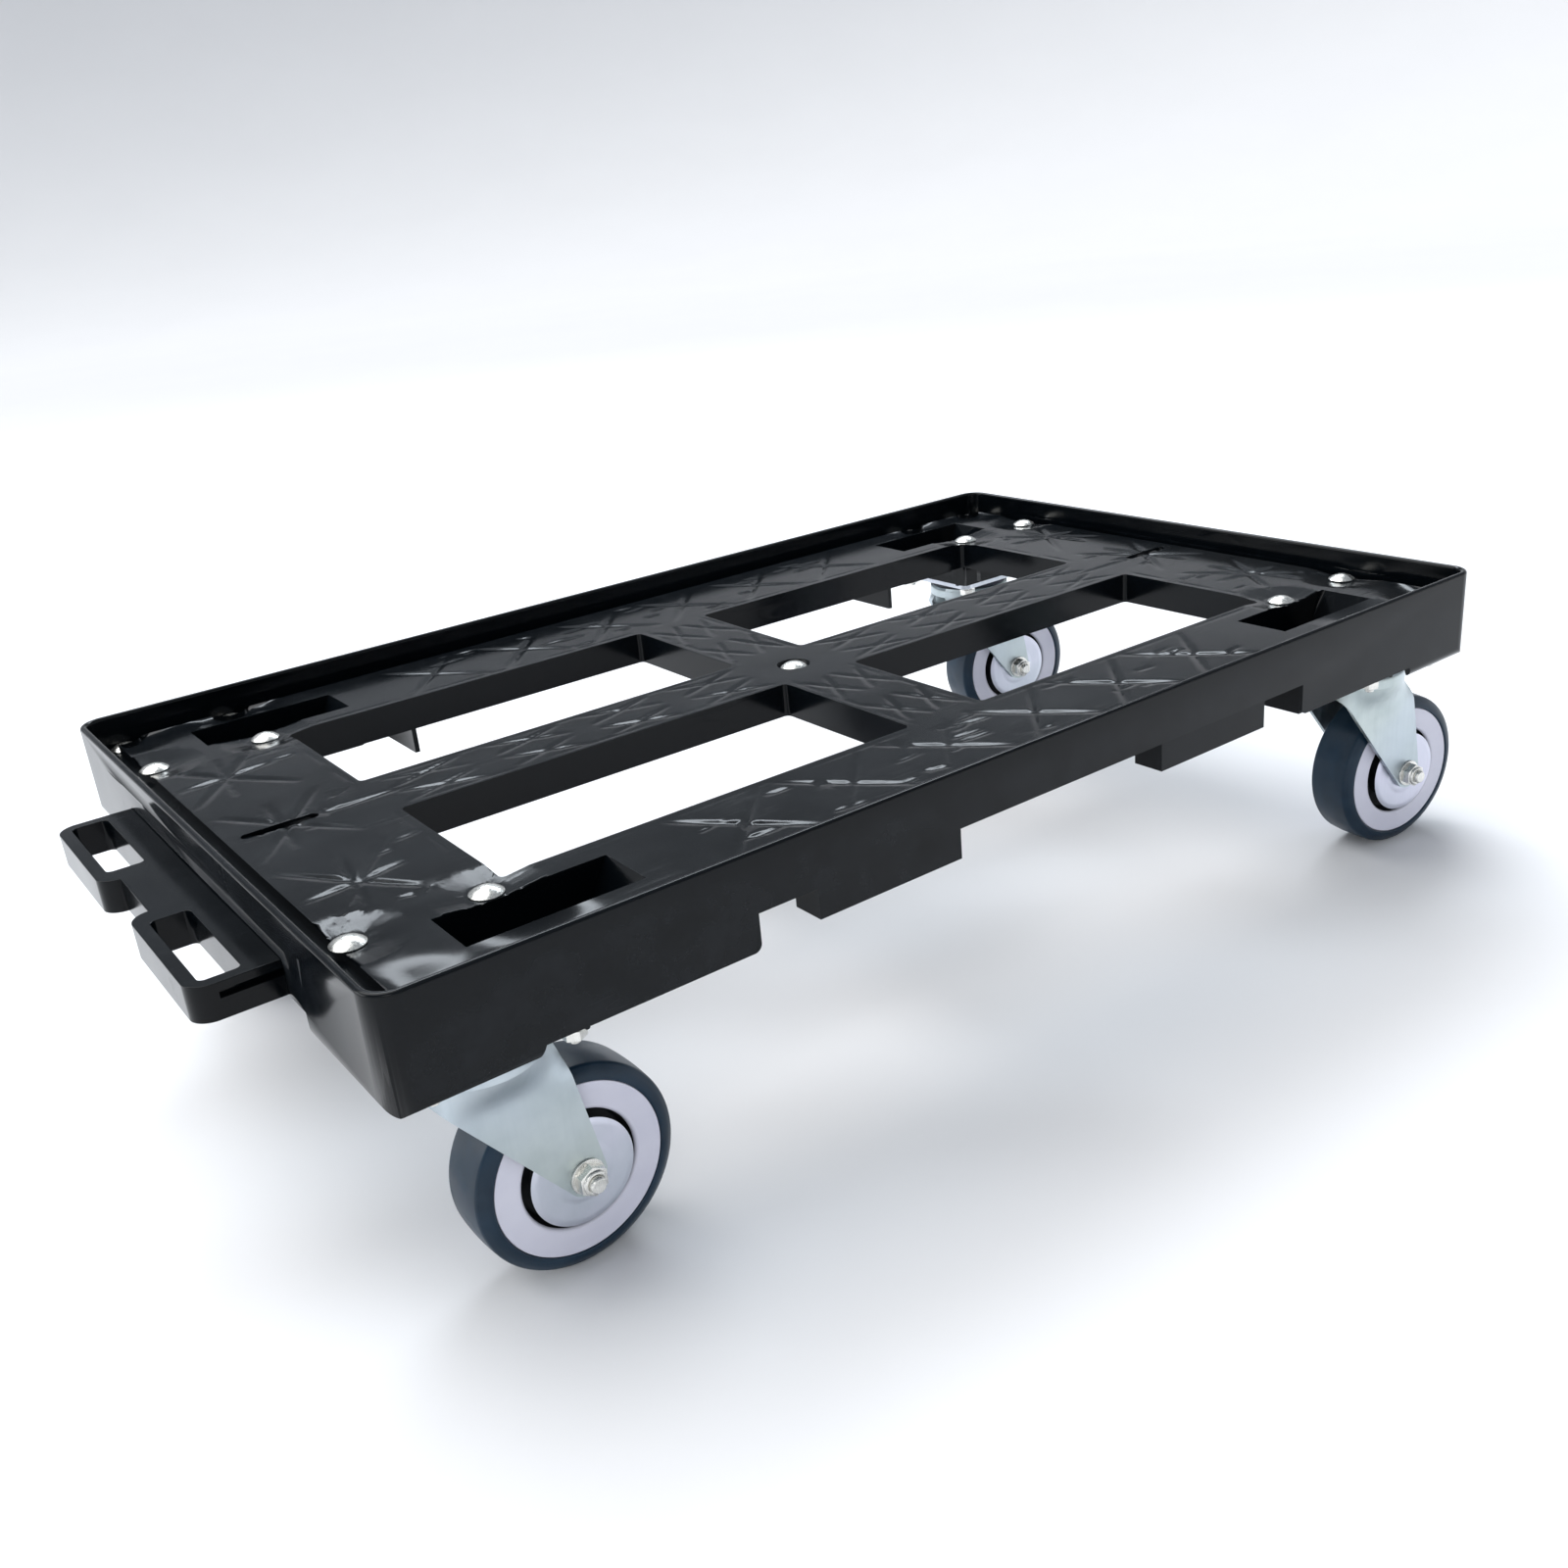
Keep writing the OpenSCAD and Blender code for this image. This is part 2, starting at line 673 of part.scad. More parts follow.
function bolt_low(under) = under - washer_t - nut_h - bolt_tip;

module caster_bolts() {
    color("silver") translate([deck_x, 0, 0]) each_corner() at_bolts() {
        seat = $outer ? gutter_z : seat_z;
        translate([0, 0, seat]) dome_bolt(bolt_low(plate_under_z) - seat);
    }
}

module caster_washers() {
    color("gainsboro") translate([deck_x, 0, 0]) each_corner() at_bolts()
        translate([0, 0, plate_under_z - washer_t])
            washer(bolt_r + washer_gap, caster_washer_r, washer_t);
}

module caster_nuts() {
    color("silver") translate([deck_x, 0, 0]) each_corner() at_bolts()
        translate([0, 0, plate_under_z - washer_t - nut_h]) hex_nut(bolt_r, nut_r, nut_h);
}

module centre_bolt() {
    color("silver") translate([deck_x, 0, seat_z]) dome_bolt(bolt_low(beam_z) - seat_z);
}

module centre_washer() {
    color("gainsboro") translate([deck_x, 0, beam_z - washer_t])
        washer(bolt_r + washer_gap, centre_washer_r, washer_t);
}

module centre_nut() {
    color("silver") translate([deck_x, 0, beam_z - washer_t - nut_h])
        hex_nut(bolt_r, nut_r, nut_h);
}

// ---- casters ----

module ball_groove() {
    translate([0, 0, ball_z]) rotate_extrude()
        translate([ball_ring_r, 0]) circle(ball_d / 2 + face_gap);
}

module top_plate() {
    l = bolt_dx + 2 * plate_margin_x;
    w = bolt_dy + 2 * plate_margin_y;
    color("gainsboro") difference() {
        union() {
            translate([-l / 2, -w / 2, -plate_t]) linear_extrude(plate_t) round_rect(l, w, plate_r);
            translate([0, 0, race_z]) cylinder(r = head_r, h = race_t + cut);
        }
        for (x = [-1, 1], y = [-1, 1]) translate([x * bolt_dx / 2, y * bolt_dy / 2, -plate_t - cut])
            cylinder(r = bolt_r + hole_gap, h = plate_t + 2 * cut);
        translate([0, 0, race_z - cut]) cylinder(r = kingpin_r, h = -race_z + 2 * cut);
        translate([0, 0, -rivet_t]) cylinder(r = flange_r, h = rivet_t + cut);
        ball_groove();
    }
}

module kingpin() {
    low = crown_z - face_gap - flange_t;
    color("silver") {
        translate([0, 0, -rivet_t]) cylinder(r = flange_r - rivet_gap, h = rivet_t);
        translate([0, 0, low]) cylinder(r = kingpin_r, h = -low);
        translate([0, 0, low]) cylinder(r = flange_r, h = flange_t);
    }
}

module swivel_balls() {
    color("silver") for (i = [0:ball_count - 1]) rotate([0, 0, i * 360 / ball_count])
        translate([ball_ring_r, 0, ball_z]) sphere(ball_d / 2);
}

module seal_ring() {
    color([0.08, 0.10, 0.16]) translate([0, 0, crown_top]) difference() {
        cylinder(r = seal_r, h = crown_gap - face_gap);
        translate([0, 0, -cut]) cylinder(r = seal_in_r, h = crown_gap + 2 * cut);
    }
}

// one leg of the fork, seen from the side
module leg_plan() {
    axle = [trail, axle_z];
    lead = [-leg_half - 1, crown_z - leg_shoulder];
    back = [trail - 1, axle_z + leg_back];
    polygon([[-leg_half, crown_top - 0.5], lead, touch(axle, leg_end_r, lead, 1), axle,
             touch(axle, leg_end_r, back, -1), back, [leg_half, crown_top - 0.5]]);
    translate(axle) circle(leg_end_r);
}

module fork() {
    color("lightsteelblue") difference() {
        union() {
            translate([0, 0, crown_z]) cylinder(r = head_r, h = crown_t);
            intersection() {
                translate([0, 0, crown_z]) cylinder(r = saddle_r, h = crown_t - 0.5);
                block([-saddle_r, -leg_out, crown_z], [saddle_r, leg_out, crown_top]);
            }
            for (y = [-leg_in, leg_out]) translate([0, y, 0]) rotate([90, 0, 0])
                linear_extrude(leg_t) leg_plan();
        }
        translate([0, 0, crown_z - cut])
            cylinder(r = kingpin_r + run_gap, h = crown_t + 2 * cut);
        ball_groove();
        on_axle() translate([0, 0, -leg_out - cut])
            cylinder(r = axle_d / 2 + axle_gap, h = 2 * (leg_out + cut));
    }
}

module thread_guards() {
    color("gainsboro") on_axle() for (m = [0, 1]) mirror([0, 0, m])
        translate([0, 0, sleeve_half]) difference() {
            cylinder(d = guard_d, h = guard_t);
            translate([0, 0, -cut]) cylinder(r = axle_d / 2 + axle_gap, h = guard_t + 2 * cut);
        }
}

module axle_bolt() {
    color("silver") on_axle() {
        translate([0, 0, -leg_out - axle_head_t])
            cylinder(r = axle_hex_r, h = axle_head_t, $fn = 6);
        translate([0, 0, -leg_out - cut])
            cylinder(d = axle_d, h = 2 * leg_out + axle_nut_h + axle_tip + cut);
    }
}

module axle_nut() {
    color("silver") on_axle() translate([0, 0, leg_out]) difference() {
        union() {
            cylinder(r = nut_flange_r, h = nut_flange_t);
            cylinder(r = axle_hex_r, h = nut_hex_h, $fn = 6);
            cylinder(r = nut_collar_r, h = axle_nut_h);
        }
        translate([0, 0, -cut]) cylinder(d = axle_d, h = axle_nut_h + 2 * cut);
    }
}

module axle_sleeve() {
    color("silver") on_axle() difference() {
        cylinder(d = sleeve_d, h = 2 * sleeve_half, center = true);
        cylinder(r = axle_d / 2 + run_gap, h = 2 * sleeve_half + 2 * cut, center = true);
    }
}

module wheel_bearings() {
    in_r = sleeve_d / 2 + run_gap;
    out_r = bearing_d / 2;
    color("silver") on_axle() for (m = [0, 1]) mirror([0, 0, m])
        translate([0, 0, hub_half - bearing_w]) rotate_extrude() difference() {
            translate([in_r, 0]) square([out_r - in_r, bearing_w]);
            for (y = [-cut, bearing_w - bearing_groove]) translate([in_r + bearing_lip, y])
                square([out_r - in_r - 2 * bearing_lip, bearing_groove + cut]);
        }
}

module wheel_core() {
    color([0.80, 0.80, 0.88]) on_axle() rotate_extrude() difference() {
        union() {
            translate([0, -hub_half]) square([hub_r, 2 * hub_half]);
            translate([0, -web_half]) square([core_r - cut, 2 * web_half]);
            translate([ring_in_r, -core_face]) square([core_r - ring_in_r, 2 * core_face]);
        }
        translate([-cut, -hub_half - cut])
            square([sleeve_d / 2 + 1 + cut, 2 * (hub_half + cut)]);
        for (m = [0, 1]) mirror([0, m]) translate([-cut, hub_half - bearing_w])
            square([bearing_d / 2 + cut, bearing_w + cut]);
    }
}

module tyre() {
    flat = wheel_w / 2 - tyre_r;
    color([0.15, 0.22, 0.30]) on_axle() rotate_extrude() {
        translate([core_r, -wheel_w / 2]) square([tyre_t - tyre_r, wheel_w]);
        translate([core_r, -flat]) square([tyre_t, 2 * flat]);
        for (y = [-flat, flat]) translate([wheel_r - tyre_r, y]) intersection() {
            circle(tyre_r);
            translate([-(tyre_t - tyre_r) + 0.001, -tyre_r])
                square([tyre_t, 2 * tyre_r]);
        }
    }
}

deck();
coupling_tongue();
guide_peg();
caster_bolts();
caster_washers();
caster_nuts();
centre_bolt();
centre_washer();
centre_nut();
for (i = [0:3]) {
    at_caster(i) top_plate();
    at_caster(i) kingpin();
    at_swivel(i) swivel_balls();
    at_swivel(i) seal_ring();
    at_swivel(i) fork();
    at_swivel(i) thread_guards();
    at_swivel(i) axle_bolt();
    at_swivel(i) axle_nut();
    at_swivel(i) axle_sleeve();
    at_swivel(i) wheel_bearings();
    at_swivel(i) wheel_core();
    at_swivel(i) tyre();
}
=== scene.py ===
import itertools
import json
import math
import random
import bpy
import bmesh
import numpy as np
from mathutils import Matrix, Vector
from mathutils.kdtree import KDTree


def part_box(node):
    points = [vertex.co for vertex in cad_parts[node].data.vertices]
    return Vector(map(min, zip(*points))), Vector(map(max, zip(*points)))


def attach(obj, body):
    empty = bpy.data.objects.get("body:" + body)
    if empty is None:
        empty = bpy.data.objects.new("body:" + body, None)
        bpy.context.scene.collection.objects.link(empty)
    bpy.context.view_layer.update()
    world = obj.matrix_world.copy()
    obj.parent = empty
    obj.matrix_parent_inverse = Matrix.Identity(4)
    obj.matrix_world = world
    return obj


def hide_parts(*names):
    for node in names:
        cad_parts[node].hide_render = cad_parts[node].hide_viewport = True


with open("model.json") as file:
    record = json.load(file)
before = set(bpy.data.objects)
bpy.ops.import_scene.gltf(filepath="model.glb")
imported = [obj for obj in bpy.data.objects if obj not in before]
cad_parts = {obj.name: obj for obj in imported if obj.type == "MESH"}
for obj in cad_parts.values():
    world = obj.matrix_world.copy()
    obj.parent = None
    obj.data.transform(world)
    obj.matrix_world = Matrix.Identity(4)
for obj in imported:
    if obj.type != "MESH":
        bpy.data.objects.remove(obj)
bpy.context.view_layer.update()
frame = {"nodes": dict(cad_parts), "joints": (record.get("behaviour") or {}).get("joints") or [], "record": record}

casters = ("front_left", "front_right", "rear_left", "rear_right")
joints = {j["name"]: j for j in frame["joints"]}
mounts = {m["name"]: m for m in frame["record"]["mounts"]}
deckLow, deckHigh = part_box("deck")
deckTop = mounts["load_deck"]["pos_m"][2]
deckMiddle = (deckLow + deckHigh) / 2

# ---- camera ----

cameraSetup = dict(place=(-0.4957, -0.6986, 0.4466), turn=(1.179943, 0.0876121, -0.642778), lens=34.285)


def addCamera():
    data = bpy.data.cameras.new("camera")
    data.lens = cameraSetup["lens"]
    data.sensor_width = 36
    data.clip_start = 0.01
    camera = bpy.data.objects.new("camera", data)
    camera.location = cameraSetup["place"]
    camera.rotation_euler = cameraSetup["turn"]
    bpy.context.scene.collection.objects.link(camera)
    bpy.context.scene.camera = camera


addCamera()
print("camera placed")

# ---- small helpers for material nodes ----

number, vector, colour = "NodeSocketFloat", "NodeSocketVector", "NodeSocketColor"


def addNode(tree, kind, **settings):
    node = tree.nodes.new(kind)
    for key, value in settings.items():
        if key in node.bl_rna.properties:
            setattr(node, key, value)
        else:
            node.inputs[key.replace("_", " ")].default_value = value
    return node


def calc(tree, operation, *values, clamp=False):
    node = addNode(tree, "ShaderNodeMath", operation=operation, use_clamp=clamp)
    for socket, value in zip(node.inputs, values):
        if isinstance(value, (int, float)):
            socket.default_value = value
        else:
            tree.links.new(value, socket)
    return node.outputs[0]


def remap(tree, value, fromLow, fromHigh, toLow=0.0, toHigh=1.0):
    node = addNode(tree, "ShaderNodeMapRange", From_Min=fromLow, From_Max=fromHigh, To_Min=toLow, To_Max=toHigh)
    tree.links.new(value, node.inputs["Value"])
    return node.outputs["Result"]


def mixColour(tree, factor, first, second, blend="MIX"):
    node = addNode(tree, "ShaderNodeMix", data_type="RGBA", blend_type=blend)
    for socket, value in ((node.inputs[0], factor), (node.inputs[6], first), (node.inputs[7], second)):
        if isinstance(value, (int, float)):
            socket.default_value = value
        elif isinstance(value, tuple):
            socket.default_value = (*value, 1)
        else:
            tree.links.new(value, socket)
    return node.outputs[2]


def noiseAt(tree, place, scale, detail=2.0, stretch=(1, 1, 1)):
    mapping = addNode(tree, "ShaderNodeMapping", Scale=stretch)
    noise = addNode(tree, "ShaderNodeTexNoise", Detail=detail)
    tree.links.new(place, mapping.inputs["Vector"])
    tree.links.new(mapping.outputs[0], noise.inputs["Vector"])
    if isinstance(scale, (int, float)):
        noise.inputs["Scale"].default_value = scale
    else:
        tree.links.new(scale, noise.inputs["Scale"])
    return noise.outputs["Fac"]


def startGroup(name, inputs, outputs):
    group = bpy.data.node_groups.new(name, "ShaderNodeTree")
    for label, default in inputs:
        group.interface.new_socket(label, in_out="INPUT", socket_type=number).default_value = default
    for label, kind in outputs:
        group.interface.new_socket(label, in_out="OUTPUT", socket_type=kind)
    place = addNode(group, "ShaderNodeTexCoord").outputs["Object"]
    return group, addNode(group, "NodeGroupInput"), addNode(group, "NodeGroupOutput"), place


# edges that handling has rubbed, as a mask
def makeEdgeWear():
    group, given, made, place = startGroup("edgeWear", [("Reach", 0.08), ("Scale", 70)], [("Mask", number)])
    geometry = addNode(group, "ShaderNodeNewGeometry")
    raised = calc(group, "SUBTRACT", geometry.outputs["Pointiness"], 0.58)     # broad faces stay clear
    edge = calc(group, "DIVIDE", raised, given.outputs["Reach"], clamp=True)
    patches = remap(group, noiseAt(group, place, given.outputs["Scale"], 4), 0.35, 0.7)
    group.links.new(calc(group, "MULTIPLY", edge, patches, clamp=True), made.inputs["Mask"])
    return group


# fine dust that settles on faces that look up
def makeDust():
    group, given, made, place = startGroup("settledDust", [("Amount", 0.4), ("Scale", 30)], [("Mask", number)])
    normal = addNode(group, "ShaderNodeTexCoord").outputs["Normal"]
    split = addNode(group, "ShaderNodeSeparateXYZ")
    group.links.new(normal, split.inputs[0])
    up = remap(group, split.outputs["Z"], 0.5, 1.0)
    cloud = remap(group, noiseAt(group, place, given.outputs["Scale"], 6), 0.42, 0.75)
    speck = remap(group, noiseAt(group, place, 900, 1), 0.62, 0.75)
    both = calc(group, "ADD", calc(group, "MULTIPLY", cloud, 0.6), calc(group, "MULTIPLY", speck, 0.5))
    dust = calc(group, "MULTIPLY", calc(group, "MULTIPLY", both, up), given.outputs["Amount"], clamp=True)
    group.links.new(dust, made.inputs["Mask"])
    return group


# moulded skin: fine grain over slow waves, and streaks where the melt flowed
def makeMouldSkin():
    group, given, made, place = startGroup(
        "mouldSkin", [("Grain", 1400), ("Wave", 9), ("Flow", 14)], [("Height", number), ("Streaks", number)])
    grain = noiseAt(group, place, given.outputs["Grain"], 3)
    wave = noiseAt(group, place, given.outputs["Wave"], 2)
    height = calc(group, "ADD", calc(group, "MULTIPLY", grain, 0.05), wave)
    group.links.new(height, made.inputs["Height"])
    streaks = remap(group, noiseAt(group, place, given.outputs["Flow"], 5, (0.35, 1.5, 1)), 0.35, 0.7)
    group.links.new(streaks, made.inputs["Streaks"])
    return group


# rolled and plated sheet: cloudy plating, fine rolling lines
def makePlating():
    group, given, made, place = startGroup(
        "plating", [("Cloud", 28), ("Lines", 420)], [("Cloud", number), ("Lines", number), ("Height", number)])
    cloud = remap(group, noiseAt(group, place, given.outputs["Cloud"], 5), 0.3, 0.7)
    lines = noiseAt(group, place, given.outputs["Lines"], 3, (1, 1, 0.06))
    spangle = noiseAt(group, place, 260, 2)
    group.links.new(cloud, made.inputs["Cloud"])
    group.links.new(lines, made.inputs["Lines"])
    height = calc(group, "ADD", calc(group, "MULTIPLY", lines, 0.5), calc(group, "MULTIPLY", spangle, 0.5))
    group.links.new(height, made.inputs["Height"])
    return group


# hairline scratches in two directions
def makeScratches():
    group, given, made, place = startGroup("scratches", [("Scale", 40), ("Share", 0.5)], [("Mask", number)])
    total = None
    for turn, seed in ((0.5, 0.0), (-0.9, 7.0), (1.9, 13.0)):
        mapping = addNode(group, "ShaderNodeMapping", Rotation=(0.2, 0.1, turn), Location=(seed, seed, 0),
                          Scale=(0.12, 3.0, 1.0))
        noise = addNode(group, "ShaderNodeTexNoise", Detail=1.0)
        group.links.new(place, mapping.inputs["Vector"])
        group.links.new(mapping.outputs[0], noise.inputs["Vector"])
        group.links.new(given.outputs["Scale"], noise.inputs["Scale"])
        thin = calc(group, "ABSOLUTE", calc(group, "SUBTRACT", noise.outputs["Fac"], 0.5))
        line = remap(group, thin, 0.0, 0.006, 1.0, 0.0)
        total = line if total is None else calc(group, "MAXIMUM", total, line)
    broken = remap(group, noiseAt(group, place, 18, 3), 0.5, 0.65)
    mask = calc(group, "MULTIPLY", calc(group, "MULTIPLY", total, broken), given.outputs["Share"], clamp=True)
    group.links.new(mask, made.inputs["Mask"])
    return group


edgeWear, settledDust = makeEdgeWear(), makeDust()
mouldSkin, plating, scratches = makeMouldSkin(), makePlating(), makeScratches()


def startMaterial(name, **fixed):
    material = bpy.data.materials.new(name)
    material.use_nodes = True
    tree = material.node_tree
    shader = tree.nodes["Principled BSDF"]
    for key, value in fixed.items():
        shader.inputs[key.replace("_", " ")].default_value = value
    return material, tree, shader


def useGroup(tree, group, **values):
    node = addNode(tree, "ShaderNodeGroup", node_tree=group)
    for key, value in values.items():
        node.inputs[key].default_value = value
    return node.outputs


def addBump(tree, shader, height, strength, distance=0.001):
    bump = addNode(tree, "ShaderNodeBump", Strength=strength, Distance=distance)
    tree.links.new(height, bump.inputs["Height"])
    tree.links.new(bump.outputs[0], shader.inputs["Normal"])


# ---- materials ----

blackLook = dict(deep=(0.0014, 0.0022, 0.0031), streak=(0.0024, 0.0037, 0.0052), worn=(0.045, 0.052, 0.062),
                 dust=(0.12, 0.13, 0.14), gloss=0.13, mattest=0.19, ior=1.49, shine=0.17, rubbed=0.10)


def makeBlackPlastic(name, dustAmount, waveStrength):
    look = blackLook
    material, tree, shader = startMaterial(name, IOR=look["ior"], Specular_IOR_Level=look["shine"])
    skin = useGroup(tree, mouldSkin)
    wear = useGroup(tree, edgeWear, Reach=0.10)["Mask"]
    dust = useGroup(tree, settledDust, Amount=dustAmount)["Mask"]
    scratch = useGroup(tree, scratches, Share=0.5)["Mask"]
    base = mixColour(tree, skin["Streaks"], look["deep"], look["streak"])
    base = mixColour(tree, calc(tree, "MULTIPLY", wear, look["rubbed"]), base, look["worn"])
    base = mixColour(tree, dust, base, look["dust"])
    tree.links.new(base, shader.inputs["Base Color"])
    rough = remap(tree, skin["Streaks"], 0, 1, look["gloss"], look["mattest"])
    rough = calc(tree, "ADD", rough, calc(tree, "MULTIPLY", dust, 0.5))
    rough = calc(tree, "ADD", rough, calc(tree, "MULTIPLY", scratch, 0.25), clamp=True)
    tree.links.new(rough, shader.inputs["Roughness"])
    height = calc(tree, "SUBTRACT", skin["Height"], calc(tree, "MULTIPLY", scratch, 0.06))
    addBump(tree, shader, height, waveStrength)
    return material


zincLook = dict(light=(0.60, 0.66, 0.64), dark=(0.38, 0.44, 0.45), tint=(0.47, 0.53, 0.60), worn=(0.80, 0.82, 0.80))


def makeZinc(name, light, dark, tint, gloss=0.30, mattest=0.46):
    material, tree, shader = startMaterial(name, Metallic=1.0)
    plate = useGroup(tree, plating)
    wear = useGroup(tree, edgeWear, Reach=0.12, Scale=120)["Mask"]
    scratch = useGroup(tree, scratches, Scale=90, Share=0.6)["Mask"]
    place = addNode(tree, "ShaderNodeTexCoord").outputs["Object"]
    hue = remap(tree, noiseAt(tree, place, 14, 2), 0.4, 0.6)
    base = mixColour(tree, plate["Cloud"], dark, light)
    base = mixColour(tree, calc(tree, "MULTIPLY", hue, 0.6), base, tint)
    base = mixColour(tree, calc(tree, "MULTIPLY", wear, 0.6), base, zincLook["worn"])
    tree.links.new(base, shader.inputs["Base Color"])
    rough = remap(tree, plate["Lines"], 0.3, 0.7, gloss, mattest)
    rough = calc(tree, "ADD", rough, calc(tree, "MULTIPLY", scratch, 0.15), clamp=True)
    tree.links.new(rough, shader.inputs["Roughness"])
    addBump(tree, shader, calc(tree, "SUBTRACT", plate["Height"], scratch), 0.08)
    return material


def makeBrightSteel():
    material, tree, shader = startMaterial("brightSteel", Metallic=1.0)
    plate = useGroup(tree, plating, Cloud=160, Lines=900)
    scratch = useGroup(tree, scratches, Scale=160, Share=0.8)["Mask"]
    wear = useGroup(tree, edgeWear, Reach=0.1, Scale=300)["Mask"]
    base = mixColour(tree, plate["Cloud"], (0.60, 0.60, 0.57), (0.80, 0.79, 0.75))
    base = mixColour(tree, calc(tree, "MULTIPLY", wear, 0.5), base, (0.9, 0.9, 0.88))
    tree.links.new(base, shader.inputs["Base Color"])
    rough = remap(tree, plate["Lines"], 0.3, 0.7, 0.2, 0.34)
    rough = calc(tree, "ADD", rough, calc(tree, "MULTIPLY", scratch, 0.2), clamp=True)
    tree.links.new(rough, shader.inputs["Roughness"])
    addBump(tree, shader, calc(tree, "SUBTRACT", plate["Height"], scratch), 0.12)
    return material


def makeCorePlastic():
    material, tree, shader = startMaterial("coreNylon", IOR=1.53)
    shader.inputs["Subsurface Weight"].default_value = 0.0
    skin = useGroup(tree, mouldSkin, Grain=900, Wave=30, Flow=40)
    dust = useGroup(tree, settledDust, Amount=0.3, Scale=60)["Mask"]
    wear = useGroup(tree, edgeWear, Reach=0.1, Scale=150)["Mask"]
    base = mixColour(tree, skin["Streaks"], (0.60, 0.60, 0.70), (0.66, 0.66, 0.75))
    base = mixColour(tree, calc(tree, "MULTIPLY", wear, 0.5), base, (0.80, 0.80, 0.86))
    base = mixColour(tree, dust, base, (0.40, 0.39, 0.42))
    tree.links.new(base, shader.inputs["Base Color"])
    tree.links.new(remap(tree, skin["Streaks"], 0, 1, 0.34, 0.46), shader.inputs["Roughness"])
    addBump(tree, shader, skin["Height"], 0.08)
    return material


# the same nylon painted near-black: painted shade for the deep groove behind the guards
def makeShadedGrooveNylon():
    material, tree, shader = startMaterial("greasyNylon", IOR=1.5, Specular_IOR_Level=0.3)
    skin = useGroup(tree, mouldSkin, Grain=700, Wave=90, Flow=120)
    # near-black base colour: painted shade of the groove, not a colour the nylon has
    base = mixColour(tree, skin["Streaks"], (0.004, 0.005, 0.007), (0.014, 0.016, 0.020))
    tree.links.new(base, shader.inputs["Base Color"])
    tree.links.new(remap(tree, skin["Streaks"], 0, 1, 0.45, 0.7), shader.inputs["Roughness"])
    addBump(tree, shader, skin["Height"], 0.2)
    return material


def makeTread():
    material, tree, shader = startMaterial("treadRubber", IOR=1.5, Specular_IOR_Level=0.3)
    skin = useGroup(tree, mouldSkin, Grain=1600, Wave=30, Flow=50)
    dust = useGroup(tree, settledDust, Amount=0.25, Scale=50)["Mask"]
    wear = useGroup(tree, edgeWear, Reach=0.06, Scale=200)["Mask"]
    place = addNode(tree, "ShaderNodeTexCoord").outputs["Object"]
    scuff = remap(tree, noiseAt(tree, place, 55, 6), 0.5, 0.72)
    base = mixColour(tree, skin["Streaks"], (0.0018, 0.0145, 0.031), (0.0034, 0.022, 0.046))
    base = mixColour(tree, calc(tree, "MULTIPLY", wear, 0.6), base, (0.03, 0.07, 0.11))
    base = mixColour(tree, calc(tree, "MULTIPLY", scuff, 0.25), base, (0.035, 0.06, 0.085))
    base = mixColour(tree, dust, base, (0.12, 0.13, 0.15))
    tree.links.new(base, shader.inputs["Base Color"])
    tree.links.new(remap(tree, scuff, 0, 1, 0.36, 0.55), shader.inputs["Roughness"])
    addBump(tree, shader, skin["Height"], 0.15)
    return material


def makeSealRubber():
    material, tree, shader = startMaterial("sealRubber", IOR=1.5, Specular_IOR_Level=0.3)
    skin = useGroup(tree, mouldSkin, Grain=1800, Wave=60, Flow=80)
    dust = useGroup(tree, settledDust, Amount=0.5, Scale=90)["Mask"]
    base = mixColour(tree, skin["Streaks"], (0.006, 0.008, 0.016), (0.012, 0.016, 0.028))
    base = mixColour(tree, dust, base, (0.1, 0.1, 0.11))
    tree.links.new(base, shader.inputs["Base Color"])
    tree.links.new(remap(tree, skin["Streaks"], 0, 1, 0.5, 0.65), shader.inputs["Roughness"])
    addBump(tree, shader, skin["Height"], 0.15)
    return material


deckPlastic = makeBlackPlastic("deckPlastic", 0.06, 0.22)
tonguePlastic = makeBlackPlastic("tonguePlastic", 0.05, 0.18)
forkZinc = makeZinc("forkZinc", zincLook["light"], zincLook["dark"], zincLook["tint"])
plateZinc = makeZinc("plateZinc", (0.62, 0.65, 0.68), (0.46, 0.50, 0.55), (0.56, 0.58, 0.66))
guardZinc = makeZinc("guardZinc", (0.66, 0.68, 0.76), (0.52, 0.56, 0.62), (0.60, 0.58, 0.70), 0.28, 0.42)
brightSteel, coreNylon, greasyNylon = makeBrightSteel(), makeCorePlastic(), makeShadedGrooveNylon()
treadRubber, sealRubber = makeTread(), makeSealRubber()
print("materials made")

# ---- mesh helpers ----


def copyNode(node, flat=0.01):
    bm = bmesh.new()
    bm.from_mesh(frame["nodes"][node].data)
    bmesh.ops.remove_doubles(bm, verts=bm.verts, dist=1e-6)
    bmesh.ops.dissolve_limit(bm, angle_limit=flat, verts=bm.verts, edges=bm.edges)
    return bm


def boxIn(node, place):
    back = place.inverted()
    points = np.array([back @ v.co for v in frame["nodes"][node].data.vertices])
    return Vector(points.min(0)), Vector(points.max(0))


